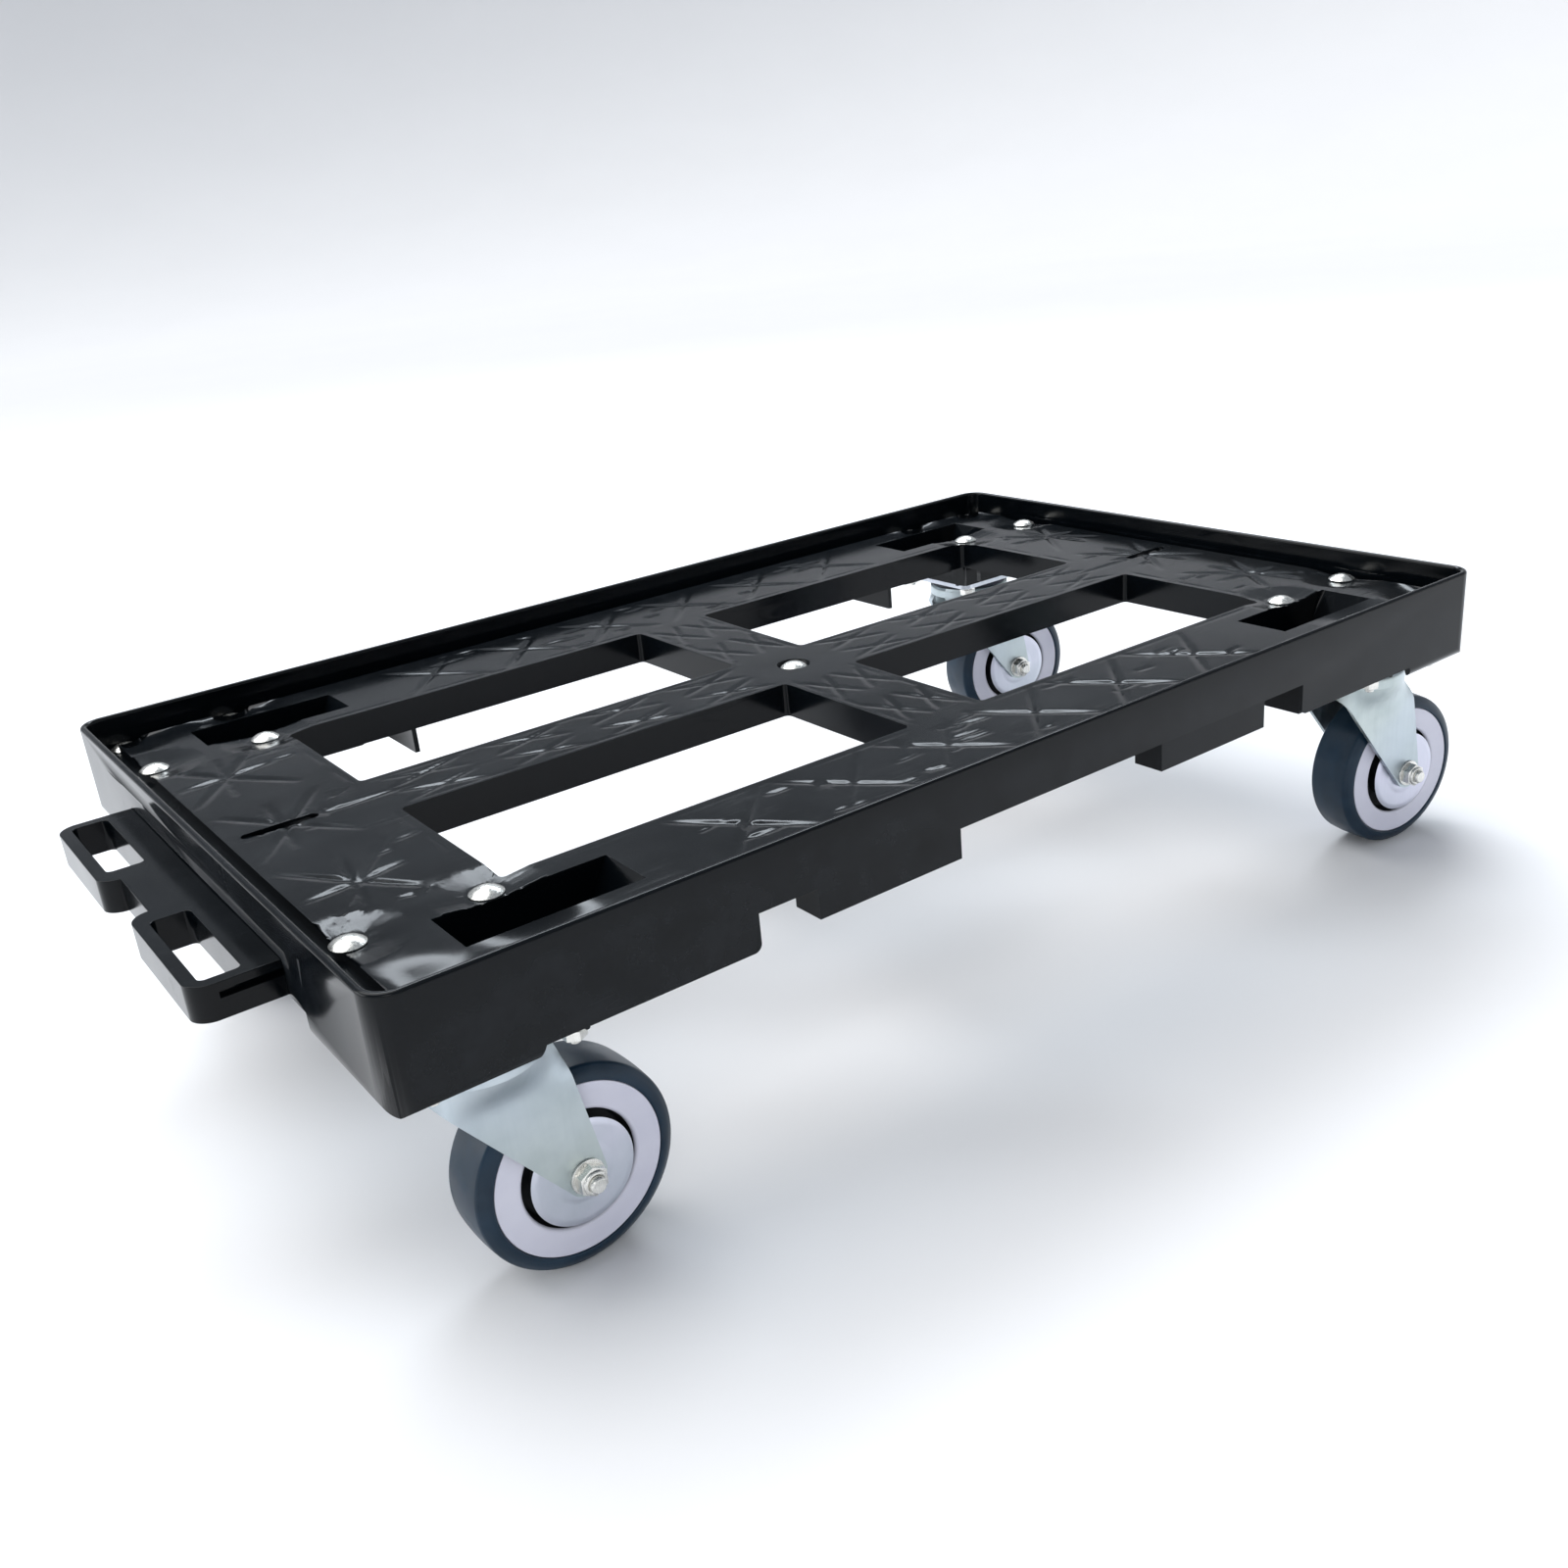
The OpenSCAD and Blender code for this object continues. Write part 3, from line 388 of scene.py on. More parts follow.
# turns an outline of (radius, height, rounding) round the z axis
def turned(outline, steps=96, segments=4):
    bm = bmesh.new()
    verts = [bm.verts.new((r, 0, z)) for r, z, rounding in outline]
    open = outline[0][0] == 0 and outline[-1][0] == 0
    pairs = zip(verts, verts[1:] if open else verts[1:] + verts[:1])
    for a, b in pairs:
        bm.edges.new((a, b))
    for size in sorted({rounding for r, z, rounding in outline if rounding}):
        corners = [v for v, p in zip(verts, outline) if p[2] == size]
        bmesh.ops.bevel(bm, geom=corners, offset=size, offset_type="OFFSET", segments=segments, profile=0.5,
                        affect="VERTICES", material=-1, clamp_overlap=True)
    bmesh.ops.spin(bm, geom=bm.verts[:] + bm.edges[:], cent=(0, 0, 0), axis=(0, 0, 1), dvec=(0, 0, 0),
                   angle=math.tau, steps=steps, use_merge=True, use_duplicate=False)
    bmesh.ops.remove_doubles(bm, verts=bm.verts, dist=1e-7)
    bmesh.ops.recalc_face_normals(bm, faces=bm.faces)
    return bm


def join(target, source, place=Matrix.Identity(4)):
    mesh = bpy.data.meshes.new("part")
    source.to_mesh(mesh)
    mesh.transform(place)
    target.from_mesh(mesh)
    bpy.data.meshes.remove(mesh)


def softenEdges(bm, edges, size, segments=2):
    bmesh.ops.bevel(bm, geom=edges, offset=size, offset_type="OFFSET", segments=segments, profile=0.5,
                    affect="EDGES", material=-1, clamp_overlap=True, loop_slide=True)


def sharpEdges(bm, angle=0.9):
    return [e for e in bm.edges if e.is_manifold and e.is_convex and e.calc_face_angle() > angle]


def finishPiece(name, bm, material, body, nodes=(), place=None, crease=0.6, weighted=True):
    if place is not None:
        bmesh.ops.transform(bm, matrix=place, verts=bm.verts)
    mesh = bpy.data.meshes.new(name)
    bm.to_mesh(mesh)
    bm.free()
    for polygon in mesh.polygons:
        polygon.use_smooth = True
    mesh.set_sharp_from_angle(angle=crease)
    mesh.materials.append(material)
    piece = bpy.data.objects.new(name, mesh)
    bpy.context.scene.collection.objects.link(piece)
    if weighted:
        normals = piece.modifiers.new("normals", "WEIGHTED_NORMAL")
        normals.keep_sharp = True
    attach(piece, body)
    if nodes:
        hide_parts(*nodes)
    return piece


def keepNode(node, material):
    piece = frame["nodes"][node]
    piece.data.materials.clear()
    piece.data.materials.append(material)


# ---- deck ----

deckShape = dict(
    rimRound=0.0017, topRound=0.0011, lowRound=0.0011, cornerRound=0.0032, cornerTop=0.145, skirtReach=0.0065, cell=0.006, refine=2,
    creaseReach=0.0037, creaseDepth=0.00090, edgeFade=0.004, ringHeight=0.00012, ringPitch=0.0045, edgeLine=0.0042, edgeDepth=0.00025,
    gutterIn=0.016, windowEnd=0.095, windowSide=0.087, longBar=0.052, crossBar=0.051, blockLength=0.171,
    starEnd=0.044, starPitch=0.092, boltEnd=0.021, boltSide=0.014, boltAlong=0.063, boltAcross=0.065,
    seat=0.010, seatDrop=0.002, dish=0.027, cornerDish=0.036, cornerDrop=0.0030, pocketEnd=0.054,
    pocketLength=0.085, pocketSide=0.036, pocketWidth=0.034, sideCells=3, barCells=4, crossCells=2)


# each crease is a shallow fold: two ends, depth and reach to each side
def creaseFolds():
    s = deckShape
    dice = random.Random(11)
    folds = []

    def fold(a, b, depth=1.0, reach=1.0, stray=0.0015):
        ends = [np.array(p) + [dice.uniform(-stray, stray), dice.uniform(-stray, stray)] for p in (a, b)]
        folds.append((*ends, s["creaseDepth"] * depth * dice.uniform(0.7, 1.2), s["creaseReach"] * reach))

    length, width = deckHigh.x - deckLow.x, deckHigh.y - deckLow.y
    windowLength = (length - 2 * s["windowEnd"] - s["crossBar"]) / 2
    windowWidth = (width - 2 * s["windowSide"] - s["longBar"]) / 2
    for mx in (1, -1):
        def at(x, y):
            return deckMiddle.x - mx * (length / 2 - x), y

        inner = s["starEnd"] - s["gutterIn"] - 0.003
        for k in (-1, 0, 1):
            y = k * s["starPitch"]
            for dx, dy in ((inner, 0.040), (inner, -0.040), (inner, 0.004), (0.004, 0.036)):
                fold(at(s["starEnd"] - dx, y - dy), at(s["starEnd"] + dx * 1.25, y + dy), 1.2)
            for n in range(3):                              # short stray folds beside each star
                x, w = s["starEnd"] + dice.uniform(0.004, 0.03), dice.uniform(-0.03, 0.03)
                fold(at(x, y + w), at(x + dice.uniform(0.010, 0.02), y + w * 1.1), 0.8, 0.6)
        fold(at(s["gutterIn"], 0), at(s["windowEnd"] + 0.02, 0), 1.0, 0.8)
        for my in (1, -1):
            sideStart = s["blockLength"]
            sideStep = (length / 2 - sideStart) / s["sideCells"]
            low, high = width / 2 - s["windowSide"] + 0.004, width / 2 - s["gutterIn"] - 0.004
            for i in range(s["sideCells"]):
                x0, x1 = sideStart + i * sideStep, sideStart + (i + 1) * sideStep
                fold(at(x0 + 0.004, my * low), at(x1 - 0.004, my * high), 1.3)
                fold(at(x0 + 0.004, my * high), at(x1 - 0.004, my * low), 1.3)
                for n in range(4):
                    x, y = dice.uniform(x0, x1), dice.uniform(low + 0.004, high - 0.004)
                    fold(at(x, my * y), at(x + dice.uniform(0.012, 0.026), my * (y + dice.uniform(-4, 4) / 1000)),
                         1.0, 0.65)
            barStep = windowLength / s["barCells"]
            for i in range(s["barCells"]):
                x0 = s["windowEnd"] + i * barStep
                reach = s["longBar"] / 2 - 0.005
                fold(at(x0 + 0.006, my * 0.002), at(x0 + barStep - 0.006, my * reach), 1.0, 0.8)
                fold(at(x0 + 0.006, my * reach), at(x0 + barStep - 0.006, my * 0.002), 0.8, 0.8)
            crossStep = windowWidth / s["crossCells"]
            for i in range(s["crossCells"]):
                y0 = s["longBar"] / 2 + i * crossStep
                reach = s["crossBar"] / 2 - 0.005
                fold(at(length / 2 - reach, my * (y0 + 0.006)), at(length / 2 - 0.002, my * (y0 + crossStep - 0.006)),
                     1.0, 0.8)
                fold(at(length / 2 - 0.002, my * (y0 + 0.006)), at(length / 2 - reach, my * (y0 + crossStep - 0.006)),
                     0.8, 0.8)
            edge, shade = s["edgeLine"], s["edgeDepth"] / s["creaseDepth"]      # sink lines over the window walls
            x0, x1 = s["windowEnd"] - edge, s["windowEnd"] + windowLength + edge
            y0, y1 = s["longBar"] / 2 - edge, s["longBar"] / 2 + windowWidth + edge
            for a, b in (((x0, y0), (x1, y0)), ((x0, y1), (x1, y1)), ((x0, y0), (x0, y1)), ((x1, y0), (x1, y1))):
                a, b = np.array(a), np.array(b)
                for n in range(3):
                    p, q = a + (b - a) * (n + 0.06) / 3, a + (b - a) * (n + 0.94) / 3
                    fold(at(p[0], my * p[1]), at(q[0], my * q[1]), shade, 0.6, 0.0006)
    return folds


def smooth(t):
    t = np.clip(t, 0, 1)
    return t * t * (3 - 2 * t)


def foldDrops(points, folds):
    drop = np.zeros(len(points))
    for a, b, depth, reach in folds:
        along = b - a
        t = np.clip((points - a) @ along / (along @ along), 0, 1)
        away = np.linalg.norm(points - a - t[:, None] * along, axis=1)
        near = np.clip(1 - away / reach, 0, 1) ** 1.4
        drop = np.maximum(drop, depth * (1 - (2 * t - 1) ** 2) * near)
    return drop


# the middles of the caster bolts, and whether each stands in the gutter
def boltSpots():
    s = deckShape
    spots = []
    for mx, my, outer, i in itertools.product((1, -1), (1, -1), (True, False), (0, 1)):
        x = s["boltEnd"] + i * s["boltAlong"]
        y = s["boltSide"] + (0 if outer else s["boltAcross"])
        spots.append((np.array([deckMiddle.x - mx * ((deckHigh.x - deckLow.x) / 2 - x), my * (deckHigh.y - y)]), outer))
    return spots


def dishDrops(points):
    s = deckShape
    drop = np.zeros(len(points))
    for centre, outer in boltSpots():
        r = np.linalg.norm(points - centre, axis=1)
        size, depth = (s["cornerDish"], s["cornerDrop"]) if outer else (s["dish"], s["seatDrop"])
        fall = depth * (1 - smooth((r - s["seat"]) / (size - s["seat"])))
        ring = s["ringHeight"] * np.cos((r - s["seat"]) / s["ringPitch"] * math.pi) * (r < size) * (r > s["seat"])
        drop = np.maximum(drop, fall + ring)
    return drop


# how freely the plate may move: 0 at its edges, 1 away from them; the bolts' seats don't count
def edgeFades(top, plate, points):
    s = deckShape
    away = np.min([np.linalg.norm(points - centre, axis=1) for centre, outer in boltSpots()], axis=0)
    held = [v.co.xy.to_3d() for v, r in zip(top, away)
            if r > s["seat"] + 0.0004 and any(f not in plate for f in v.link_faces)]
    tree = KDTree(len(held))
    for i, point in enumerate(held):
        tree.insert(point, i)
    tree.balance()
    return smooth(np.array([tree.find((x, y, 0))[2] for x, y in points]) / s["edgeFade"])


def buildDeck():
    s = deckShape
    bm = copyNode("deck")
    rimTop = deckHigh.z

    def level(e, z):
        return all(abs(v.co.z - z) < 2e-5 for v in e.verts)

    softenEdges(bm, [e for e in sharpEdges(bm) if level(e, rimTop)], s["rimRound"], 4)
    softenEdges(bm, [e for e in sharpEdges(bm) if level(e, deckTop)], s["topRound"], 3)

    def isCorner(e):                                        # lower corners of the tabs and feet, seen from outside
        a, b = (v.co for v in e.verts)
        run, middle = b - a, (a + b) / 2
        across = 1 if deckHigh.y - abs(middle.y) < s["skirtReach"] else 0
        nearEnd = (deckHigh.x - deckLow.x) / 2 - abs(middle.x - deckMiddle.x) < s["skirtReach"]
        straight = abs(run[across]) > 0.95 * run.length > 0.0015
        return straight and (across == 1 or nearEnd) and max(a.z, b.z) < s["cornerTop"]

    softenEdges(bm, [e for e in sharpEdges(bm, 1.2) if isCorner(e)], s["cornerRound"], 4)

    def onOutside(e):
        middle = (e.verts[0].co + e.verts[1].co) / 2
        side = deckHigh.y - abs(middle.y) < 0.0015
        end = (deckHigh.x - deckLow.x) / 2 - abs(middle.x - deckMiddle.x) < 0.0015
        return (side or end) and middle.z < rimTop - 0.004

    softenEdges(bm, [e for e in sharpEdges(bm) if onOutside(e)], s["lowRound"], 3)

    def isTop(f):
        return f.normal.z > 0.6 and all(deckTop - s["seatDrop"] - 1e-5 < v.co.z < deckTop + 1e-5 for v in f.verts)

    def allOf(faces):
        edges = {e for f in faces for e in f.edges}
        return list(faces) + list(edges) + list({v for e in edges for v in e.verts})

    geom = allOf([f for f in bm.faces if isTop(f)])
    for axis, low, high in ((0, deckLow.x, deckHigh.x), (1, deckLow.y, deckHigh.y)):
        count = round((high - low) / s["cell"])
        direction = [0, 0, 0]
        direction[axis] = 1
        for i in range(1, count):
            point = [0, 0, 0]
            point[axis] = low + (high - low) * i / count + 1.3e-5
            cut = bmesh.ops.bisect_plane(bm, geom=geom, dist=1e-6, plane_co=point, plane_no=direction)
            geom = cut["geom"]
    print("deck top gridded:", len(bm.faces), "faces")

    folds = creaseFolds()
    for step in range(s["refine"]):
        faces = [f for f in bm.faces if isTop(f)]
        centres = np.array([f.calc_center_median()[:2] for f in faces])
        reach = s["cell"] / 2 ** step * 0.6
        grown = [(a, b, 1.0, d + reach) for a, b, depth, d in folds]
        near = foldDrops(centres, grown) > 0.02
        edges = {e for f, n in zip(faces, near) if n and f.calc_area() > 4e-7 for e in f.edges}
        edges = [e for e in edges if e.calc_length() > 0.0009]
        bmesh.ops.subdivide_edges(bm, edges=edges, cuts=1, use_grid_fill=True)
        print("deck top refined:", len(bm.faces), "faces")

    plate = {f for f in bm.faces if isTop(f)}
    top = list({v for f in plate for v in f.verts})
    points = np.array([v.co[:2] for v in top])
    drops = (dishDrops(points) + foldDrops(points, folds)) * edgeFades(top, plate, points)
    for v, drop in zip(top, drops):
        v.co.z = deckTop - max(drop, deckTop - v.co.z)
    return finishPiece("deck_moulding", bm, deckPlastic, "platform", ["deck"])


buildDeck()
print("deck built")

# ---- coupling tongue ----

tongueShape = dict(topRound=0.0016, planRound=0.0010, lip=0.0022, crown=0.0007, cell=0.006)


def buildTongue():
    s = tongueShape
    bm = copyNode("coupling_tongue")
    low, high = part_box("coupling_tongue")

    def level(e, z):
        return all(abs(v.co.z - z) < 2e-5 for v in e.verts)

    softenEdges(bm, [e for e in sharpEdges(bm) if level(e, high.z)], s["topRound"], 4)
    softenEdges(bm, [e for e in sharpEdges(bm, 0.8) if level(e, low.z) and e.calc_length() > 0.002],
                s["planRound"], 2)
    top = [f for f in bm.faces if f.normal.z > 0.95 and abs(f.calc_center_median().z - high.z) < 2e-5]
    geom = top + list({e for f in top for e in f.edges}) + list({v for f in top for v in f.verts})
    for axis in (0, 1):
        count = round((high[axis] - low[axis]) / s["cell"])
        direction = Vector((axis == 0, axis == 1, 0))
        for i in range(1, count):
            point = direction * (low[axis] + (high[axis] - low[axis]) * i / count + 2.1e-5)
            geom = bmesh.ops.bisect_plane(bm, geom=geom, dist=1e-6, plane_co=point, plane_no=direction)["geom"]
    middle = (low + high) / 2
    for v in bm.verts:
        if v.co.z > high.z - s["topRound"] * 1.2:           # the body sinks a little between the lugs' rims
            across = min(abs(v.co.y) / middle.x if False else abs(v.co.y) / high.y, 1)
            inward = smooth(np.array([(v.co.x - low.x - 0.030) / 0.012]))[0]
            v.co.z -= s["crown"] * inward * (0.6 + 0.4 * math.cos(across * math.pi))
    return finishPiece("tongue_moulding", bm, tonguePlastic, "tongue", ["coupling_tongue"])


buildTongue()
keepNode("guide_peg", tonguePlastic)
print("tongue built")

# ---- bolts, washers and nuts of the deck ----

boltShape = dict(head=0.008, rise=0.0036, rim=0.0005, shank=0.003, neck=0.003)


def islands(node):
    bm = bmesh.new()
    bm.from_mesh(frame["nodes"][node].data)
    bmesh.ops.remove_doubles(bm, verts=bm.verts, dist=1e-6)
    boxes, waiting = [], set(bm.verts)
    while waiting:
        found, queue = set(), [waiting.pop()]
        while queue:
            v = queue.pop()
            found.add(v)
            for e in v.link_edges:
                other = e.other_vert(v)
                if other in waiting:
                    waiting.discard(other)
                    queue.append(other)
        points = [v.co for v in found]
        boxes.append((Vector([min(p[i] for p in points) for i in range(3)]),
                      Vector([max(p[i] for p in points) for i in range(3)])))
    bm.free()
    return boxes


def domeBolt(low, high):
    s = boltShape
    top, seat = high.z, high.z - s["rise"]
    ball = (s["head"] ** 2 + (s["rise"] - s["rim"]) ** 2) / (2 * (s["rise"] - s["rim"]))
    dome = [(ball * math.sin(a), top - ball * (1 - math.cos(a)), 0)
            for a in np.linspace(0, math.asin(s["head"] / ball) * 0.985, 10)]
    neck, shank = s["neck"], s["shank"]
    pitch, turns = 0.001, int((seat - neck - low.z) / 0.001) - 1
    thread = []
    for i in range(turns):
        z = seat - neck - 0.0005 - i * pitch
        thread += [(shank, z, 0), (shank * 0.88, z - pitch / 2, 0)]
    outline = dome + [(s["head"], seat + s["rim"], 0), (s["head"] - 0.0003, seat, 0), (neck * 1.35, seat, 0),
                      (neck * 1.35, seat - neck, 0)] + thread + [
                          (shank * 0.85, low.z + 0.0004, 0), (shank * 0.7, low.z, 0), (0, low.z, 0)]
    return turned(outline, 40)


def buildFasteners():
    for name, nodes in (("caster_bolts", islands("caster_bolts")), ("centre_bolt", [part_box("centre_bolt")])):
        whole = bmesh.new()
        shapes = {}
        for low, high in nodes:
            key = round(low.z - high.z, 5)
            if key not in shapes:
                shapes[key] = domeBolt(Vector((0, 0, low.z - high.z)), Vector((0, 0, 0)))
            join(whole, shapes[key], Matrix.Translation(((low.x + high.x) / 2, (low.y + high.y) / 2, high.z)))
        finishPiece(name + "_domed", whole, brightSteel, "platform", [name], crease=0.7)
    for name in ("caster_washers", "centre_washer"):
        whole = bmesh.new()
        for low, high in islands(name):
            outer, hole = (high.x - low.x) / 2, boltShape["shank"] + 0.0002
            ring = turned([(hole, 0, 0.0001), (outer, 0, 0.0003), (outer, high.z - low.z, 0.0003),
                           (hole, high.z - low.z, 0.0001)], 40, 2)
            join(whole, ring, Matrix.Translation(((low.x + high.x) / 2, (low.y + high.y) / 2, low.z)))
        finishPiece(name + "_rounded", whole, brightSteel, "platform", [name])
    for name in ("caster_nuts", "centre_nut"):
        whole = bmesh.new()
        for low, high in islands(name):
            nut = hexNut((high.x - low.x) / 2, high.z - low.z, boltShape["shank"])
            join(whole, nut, Matrix.Translation(((low.x + high.x) / 2, (low.y + high.y) / 2, low.z)))
        finishPiece(name + "_chamfered", whole, brightSteel, "platform", [name])


# hexagon with its corners turned off at both ends and a hole sunk a quarter of its height into each end
def hexNut(corner, height, hole, chamfer=0.13):
    bm = bmesh.new()
    bmesh.ops.create_cone(bm, cap_ends=True, segments=6, radius1=corner, radius2=corner, depth=height,
                          matrix=Matrix.Translation((0, 0, height / 2)))
    caps = [f for f in bm.faces if abs(f.normal.z) > 0.9]
    result = bmesh.ops.inset_region(bm, faces=caps, thickness=corner * chamfer, depth=0, use_even_offset=True)
    for v in {v for f in caps for v in f.verts}:
        flat = Vector((v.co.x, v.co.y, 0))
        flat = flat.normalized() * corner * 0.84
        v.co.x, v.co.y = flat.x, flat.y
    for v in [v for v in bm.verts if Vector((v.co.x, v.co.y)).length > corner * 0.95]:
        v.co.z += corner * chamfer * (0.55 if v.co.z < height / 2 else -0.55)
    bmesh.ops.inset_region(bm, faces=caps, thickness=corner * 0.84 * 0.9 - hole * 0.9, depth=0)
    bmesh.ops.inset_region(bm, faces=caps, thickness=hole * 0.02, depth=-height * 0.25)
    return bm


buildFasteners()
print("deck fasteners built")

# ---- casters ----

wheelShape = dict(
    steps=128, crown=0.0006, shoulder=0.0128, wall=0.0455, coreIn=0.0287, lip=0.0018, web=0.005, faceDish=0.0009,
    hubWall=0.0045, guardDish=0.0006, guardRoll=0.0004)
forkShape = dict(skirt=0.0085, topRound=0.0035, cell=0.0028, straighten=0.021, thick=0.0028, edge=0.0005)


def casterPlace(name):
    pin = Vector(joints[name + "_swivel_turn"]["pos_m"])
    wheel = Vector(joints[name + "_wheel_spin"]["pos_m"])
    turn = Matrix.Rotation(math.atan2(wheel.y - pin.y, wheel.x - pin.x), 4, "Z")
    return Matrix.Translation(pin) @ turn, Matrix.Translation(wheel) @ turn @ Matrix.Rotation(math.pi / 2, 4, "X")


def buildWheel(name, wheel):
    s = wheelShape
    low, high = boxIn(name + "_tyre", wheel)
    outer, half = high.x, high.z
    core = boxIn(name + "_wheel_core", wheel)[1]
    rubberIn = core.x
    tread = [(outer - s["crown"] * (z / s["shoulder"]) ** 2, z * 1.0, 0)
             for z in np.linspace(-s["shoulder"], s["shoulder"], 9)]
    tread[0], tread[-1] = (*tread[0][:2], 0.0011), (*tread[-1][:2], 0.0011)
    side = [(s["wall"], half - 0.0004, 0.0018), (rubberIn + 0.0006, half, 0.0005), (rubberIn, half - 0.0006, 0)]
    outline = tread + side + [(r, -z, rounding) for r, z, rounding in reversed(side)]
    finishPiece(name + "_tread", turned(outline, s["steps"]), treadRubber, name + "_wheel",
                [name + "_tyre"], wheel, 0.9)

    face, bore = half - 0.0005, boxIn(name + "_axle_sleeve", wheel)[1].x + 0.001
    bearing = boxIn(name + "_wheel_bearings", wheel)[1]
    hub = bearing.x + s["hubWall"]
    upper = [(hub, s["web"], 0.001), (hub, bearing.z, 0.0006), (bearing.x, bearing.z, 0.0003),
             (bearing.x, bearing.z - 0.008, 0), (bore, bearing.z - 0.008, 0)]
    ring = [(rubberIn - 0.0002, face, 0.0006), ((rubberIn + s["coreIn"]) / 2, face - s["faceDish"], 0.006),
            (s["coreIn"], face, s["lip"]), (s["coreIn"] - 0.0012, s["web"], 0.0015)]
    outline = ring + upper + [(r, -z, rounding) for r, z, rounding in reversed(ring + upper)]
    piece = finishPiece(name + "_core_moulding", turned(outline, s["steps"]), coreNylon, name + "_wheel",
                        [name + "_wheel_core"], wheel, 0.9)
    piece.data.materials.append(greasyNylon)
    for polygon in piece.data.polygons:                     # painted shade: what lies behind the guards gets the near-black nylon
        inWheel = wheel.inverted() @ polygon.center
        if Vector((inWheel.x, inWheel.y)).length < s["coreIn"] - 0.0002 and abs(inWheel.z) < face - 0.0012:
            polygon.material_index = 1
    keepNode(name + "_wheel_bearings", brightSteel)


def buildGuards(name, wheel):
    s = wheelShape
    low, high = boxIn(name + "_thread_guards", wheel)
    radius, outside, hole = high.x, high.z, 0.0042
    inside = outside - 0.0008
    disc = [(hole, inside, 0), (hole, outside, 0.0002), (0.0125, outside, 0.001),
            (0.0145, outside - s["guardDish"] * 0.5, 0.001), (radius - 0.0025, outside - s["guardDish"] * 0.2, 0.001),
            (radius, outside - 0.0007, s["guardRoll"]), (radius, inside - 0.0001, 0.0001),
            (radius - 0.003, inside - 0.0001, 0), (0.0145, inside - 0.0001, 0)]
    whole = turned(disc, 96)
    other = whole.copy()
    join(whole, other, Matrix.Rotation(math.pi, 4, "X"))
    other.free()
    finishPiece(name + "_guards_dished", whole, guardZinc, name + "_swivel",
                [name + "_thread_guards"], wheel, 0.8)


# one pressed leg: the flat side of the fork, bent round the head at its top
def bentLeg(name, place, side, headRadius):
    s = forkShape
    low, high = boxIn(name + "_fork", place)
    bm = copyNode(name + "_fork")
    bmesh.ops.transform(bm, matrix=place.inverted(), verts=bm.verts)
    faces = [f for f in bm.faces if f.normal.y * side > 0.99]
    legY = max(abs(f.calc_center_median().y) for f in faces if f.calc_area() > 0.001)
    away = [f for f in bm.faces if f not in faces or abs(abs(f.calc_center_median().y) - legY) > 1e-4]
    bmesh.ops.delete(bm, geom=away, context="FACES")
    geom = bm.verts[:] + bm.edges[:] + bm.faces[:]
    for axis in (0, 2):
        lowEnd, highEnd = low[axis], high[axis]
        count = round((highEnd - lowEnd) / s["cell"])
        direction = Vector((axis == 0, 0, axis == 2))
        for i in range(1, count):
            point = direction * (lowEnd + (highEnd - lowEnd) * i / count + 1.7e-5)
            geom = bmesh.ops.bisect_plane(bm, geom=geom, dist=1e-6, plane_co=point, plane_no=direction)["geom"]
    top = high.z
    for v in bm.verts:
        bend = 1 - float(smooth(np.array((top - 0.005 - v.co.z) / s["straighten"])))
        x = max(min(v.co.x, headRadius * 0.96), -headRadius * 0.96)
        round_ = math.sqrt(headRadius ** 2 - x * x)
        v.co.y = side * (legY + (round_ - legY) * bend)
    return bm, legY


def buildFork(name, place, wheel):
    s = forkShape
    headRadius = boxIn(name + "_seal_ring", place)[1].x + 0.0005
    low, high = boxIn(name + "_fork", place)
    top = high.z
    whole = bmesh.new()
    for side in (-1, 1):
        leg, legY = bentLeg(name, place, side, headRadius - 0.0001)
        bmesh.ops.recalc_face_normals(leg, faces=leg.faces)
        if sum(f.normal.y * side for f in leg.faces) < 0:
            bmesh.ops.reverse_faces(leg, faces=leg.faces)
        bmesh.ops.solidify(leg, geom=leg.faces[:], thickness=s["thick"])
        join(whole, leg)
        leg.free()
    pin = boxIn(name + "_kingpin", place)[1].x
    bore = 0.00605
    head = turned([(bore, top, 0.0003), (headRadius, top, s["topRound"]), (headRadius, top - s["skirt"], 0.0006),
                   (headRadius - s["thick"], top - s["skirt"], 0.0006),
                   (headRadius - s["thick"], top - 0.005, 0.002), (bore, top - 0.005, 0.0003)], 96)
    join(whole, head)
    head.free()
    finishPiece(name + "_fork_pressed", whole, forkZinc, name + "_swivel", [name + "_fork"], place, 0.8)


def buildHead(name, place):
    low, high = boxIn(name + "_top_plate", place)
    pinLow, pinHigh = boxIn(name + "_kingpin", place)
    seal = boxIn(name + "_seal_ring", place)
    bm = copyNode(name + "_top_plate")
    softenEdges(bm, [e for e in sharpEdges(bm, 0.8) if e.calc_length() > 0.0008], 0.0005, 2)
    finishPiece(name + "_plate_rounded", bm, plateZinc, "platform", [name + "_top_plate"], crease=0.7)
    bm = copyNode(name + "_kingpin")
    softenEdges(bm, sharpEdges(bm, 0.8), 0.0006, 3)
    finishPiece(name + "_kingpin_rounded", bm, brightSteel, "platform", [name + "_kingpin"])
    radius, base, top = seal[1].x, seal[0].z, seal[1].z
    ring = turned([(radius - 0.003, base, 0), (radius, base, 0.0006), (radius + 0.0004, (base + top) / 2, 0.0005),
                   (radius, top, 0.0006), (radius - 0.003, top, 0.0003)], 96)
    finishPiece(name + "_seal_lip", ring, sealRubber, name + "_swivel", [name + "_seal_ring"], place)
    keepNode(name + "_swivel_balls", brightSteel)
    keepNode(name + "_axle_sleeve", brightSteel)


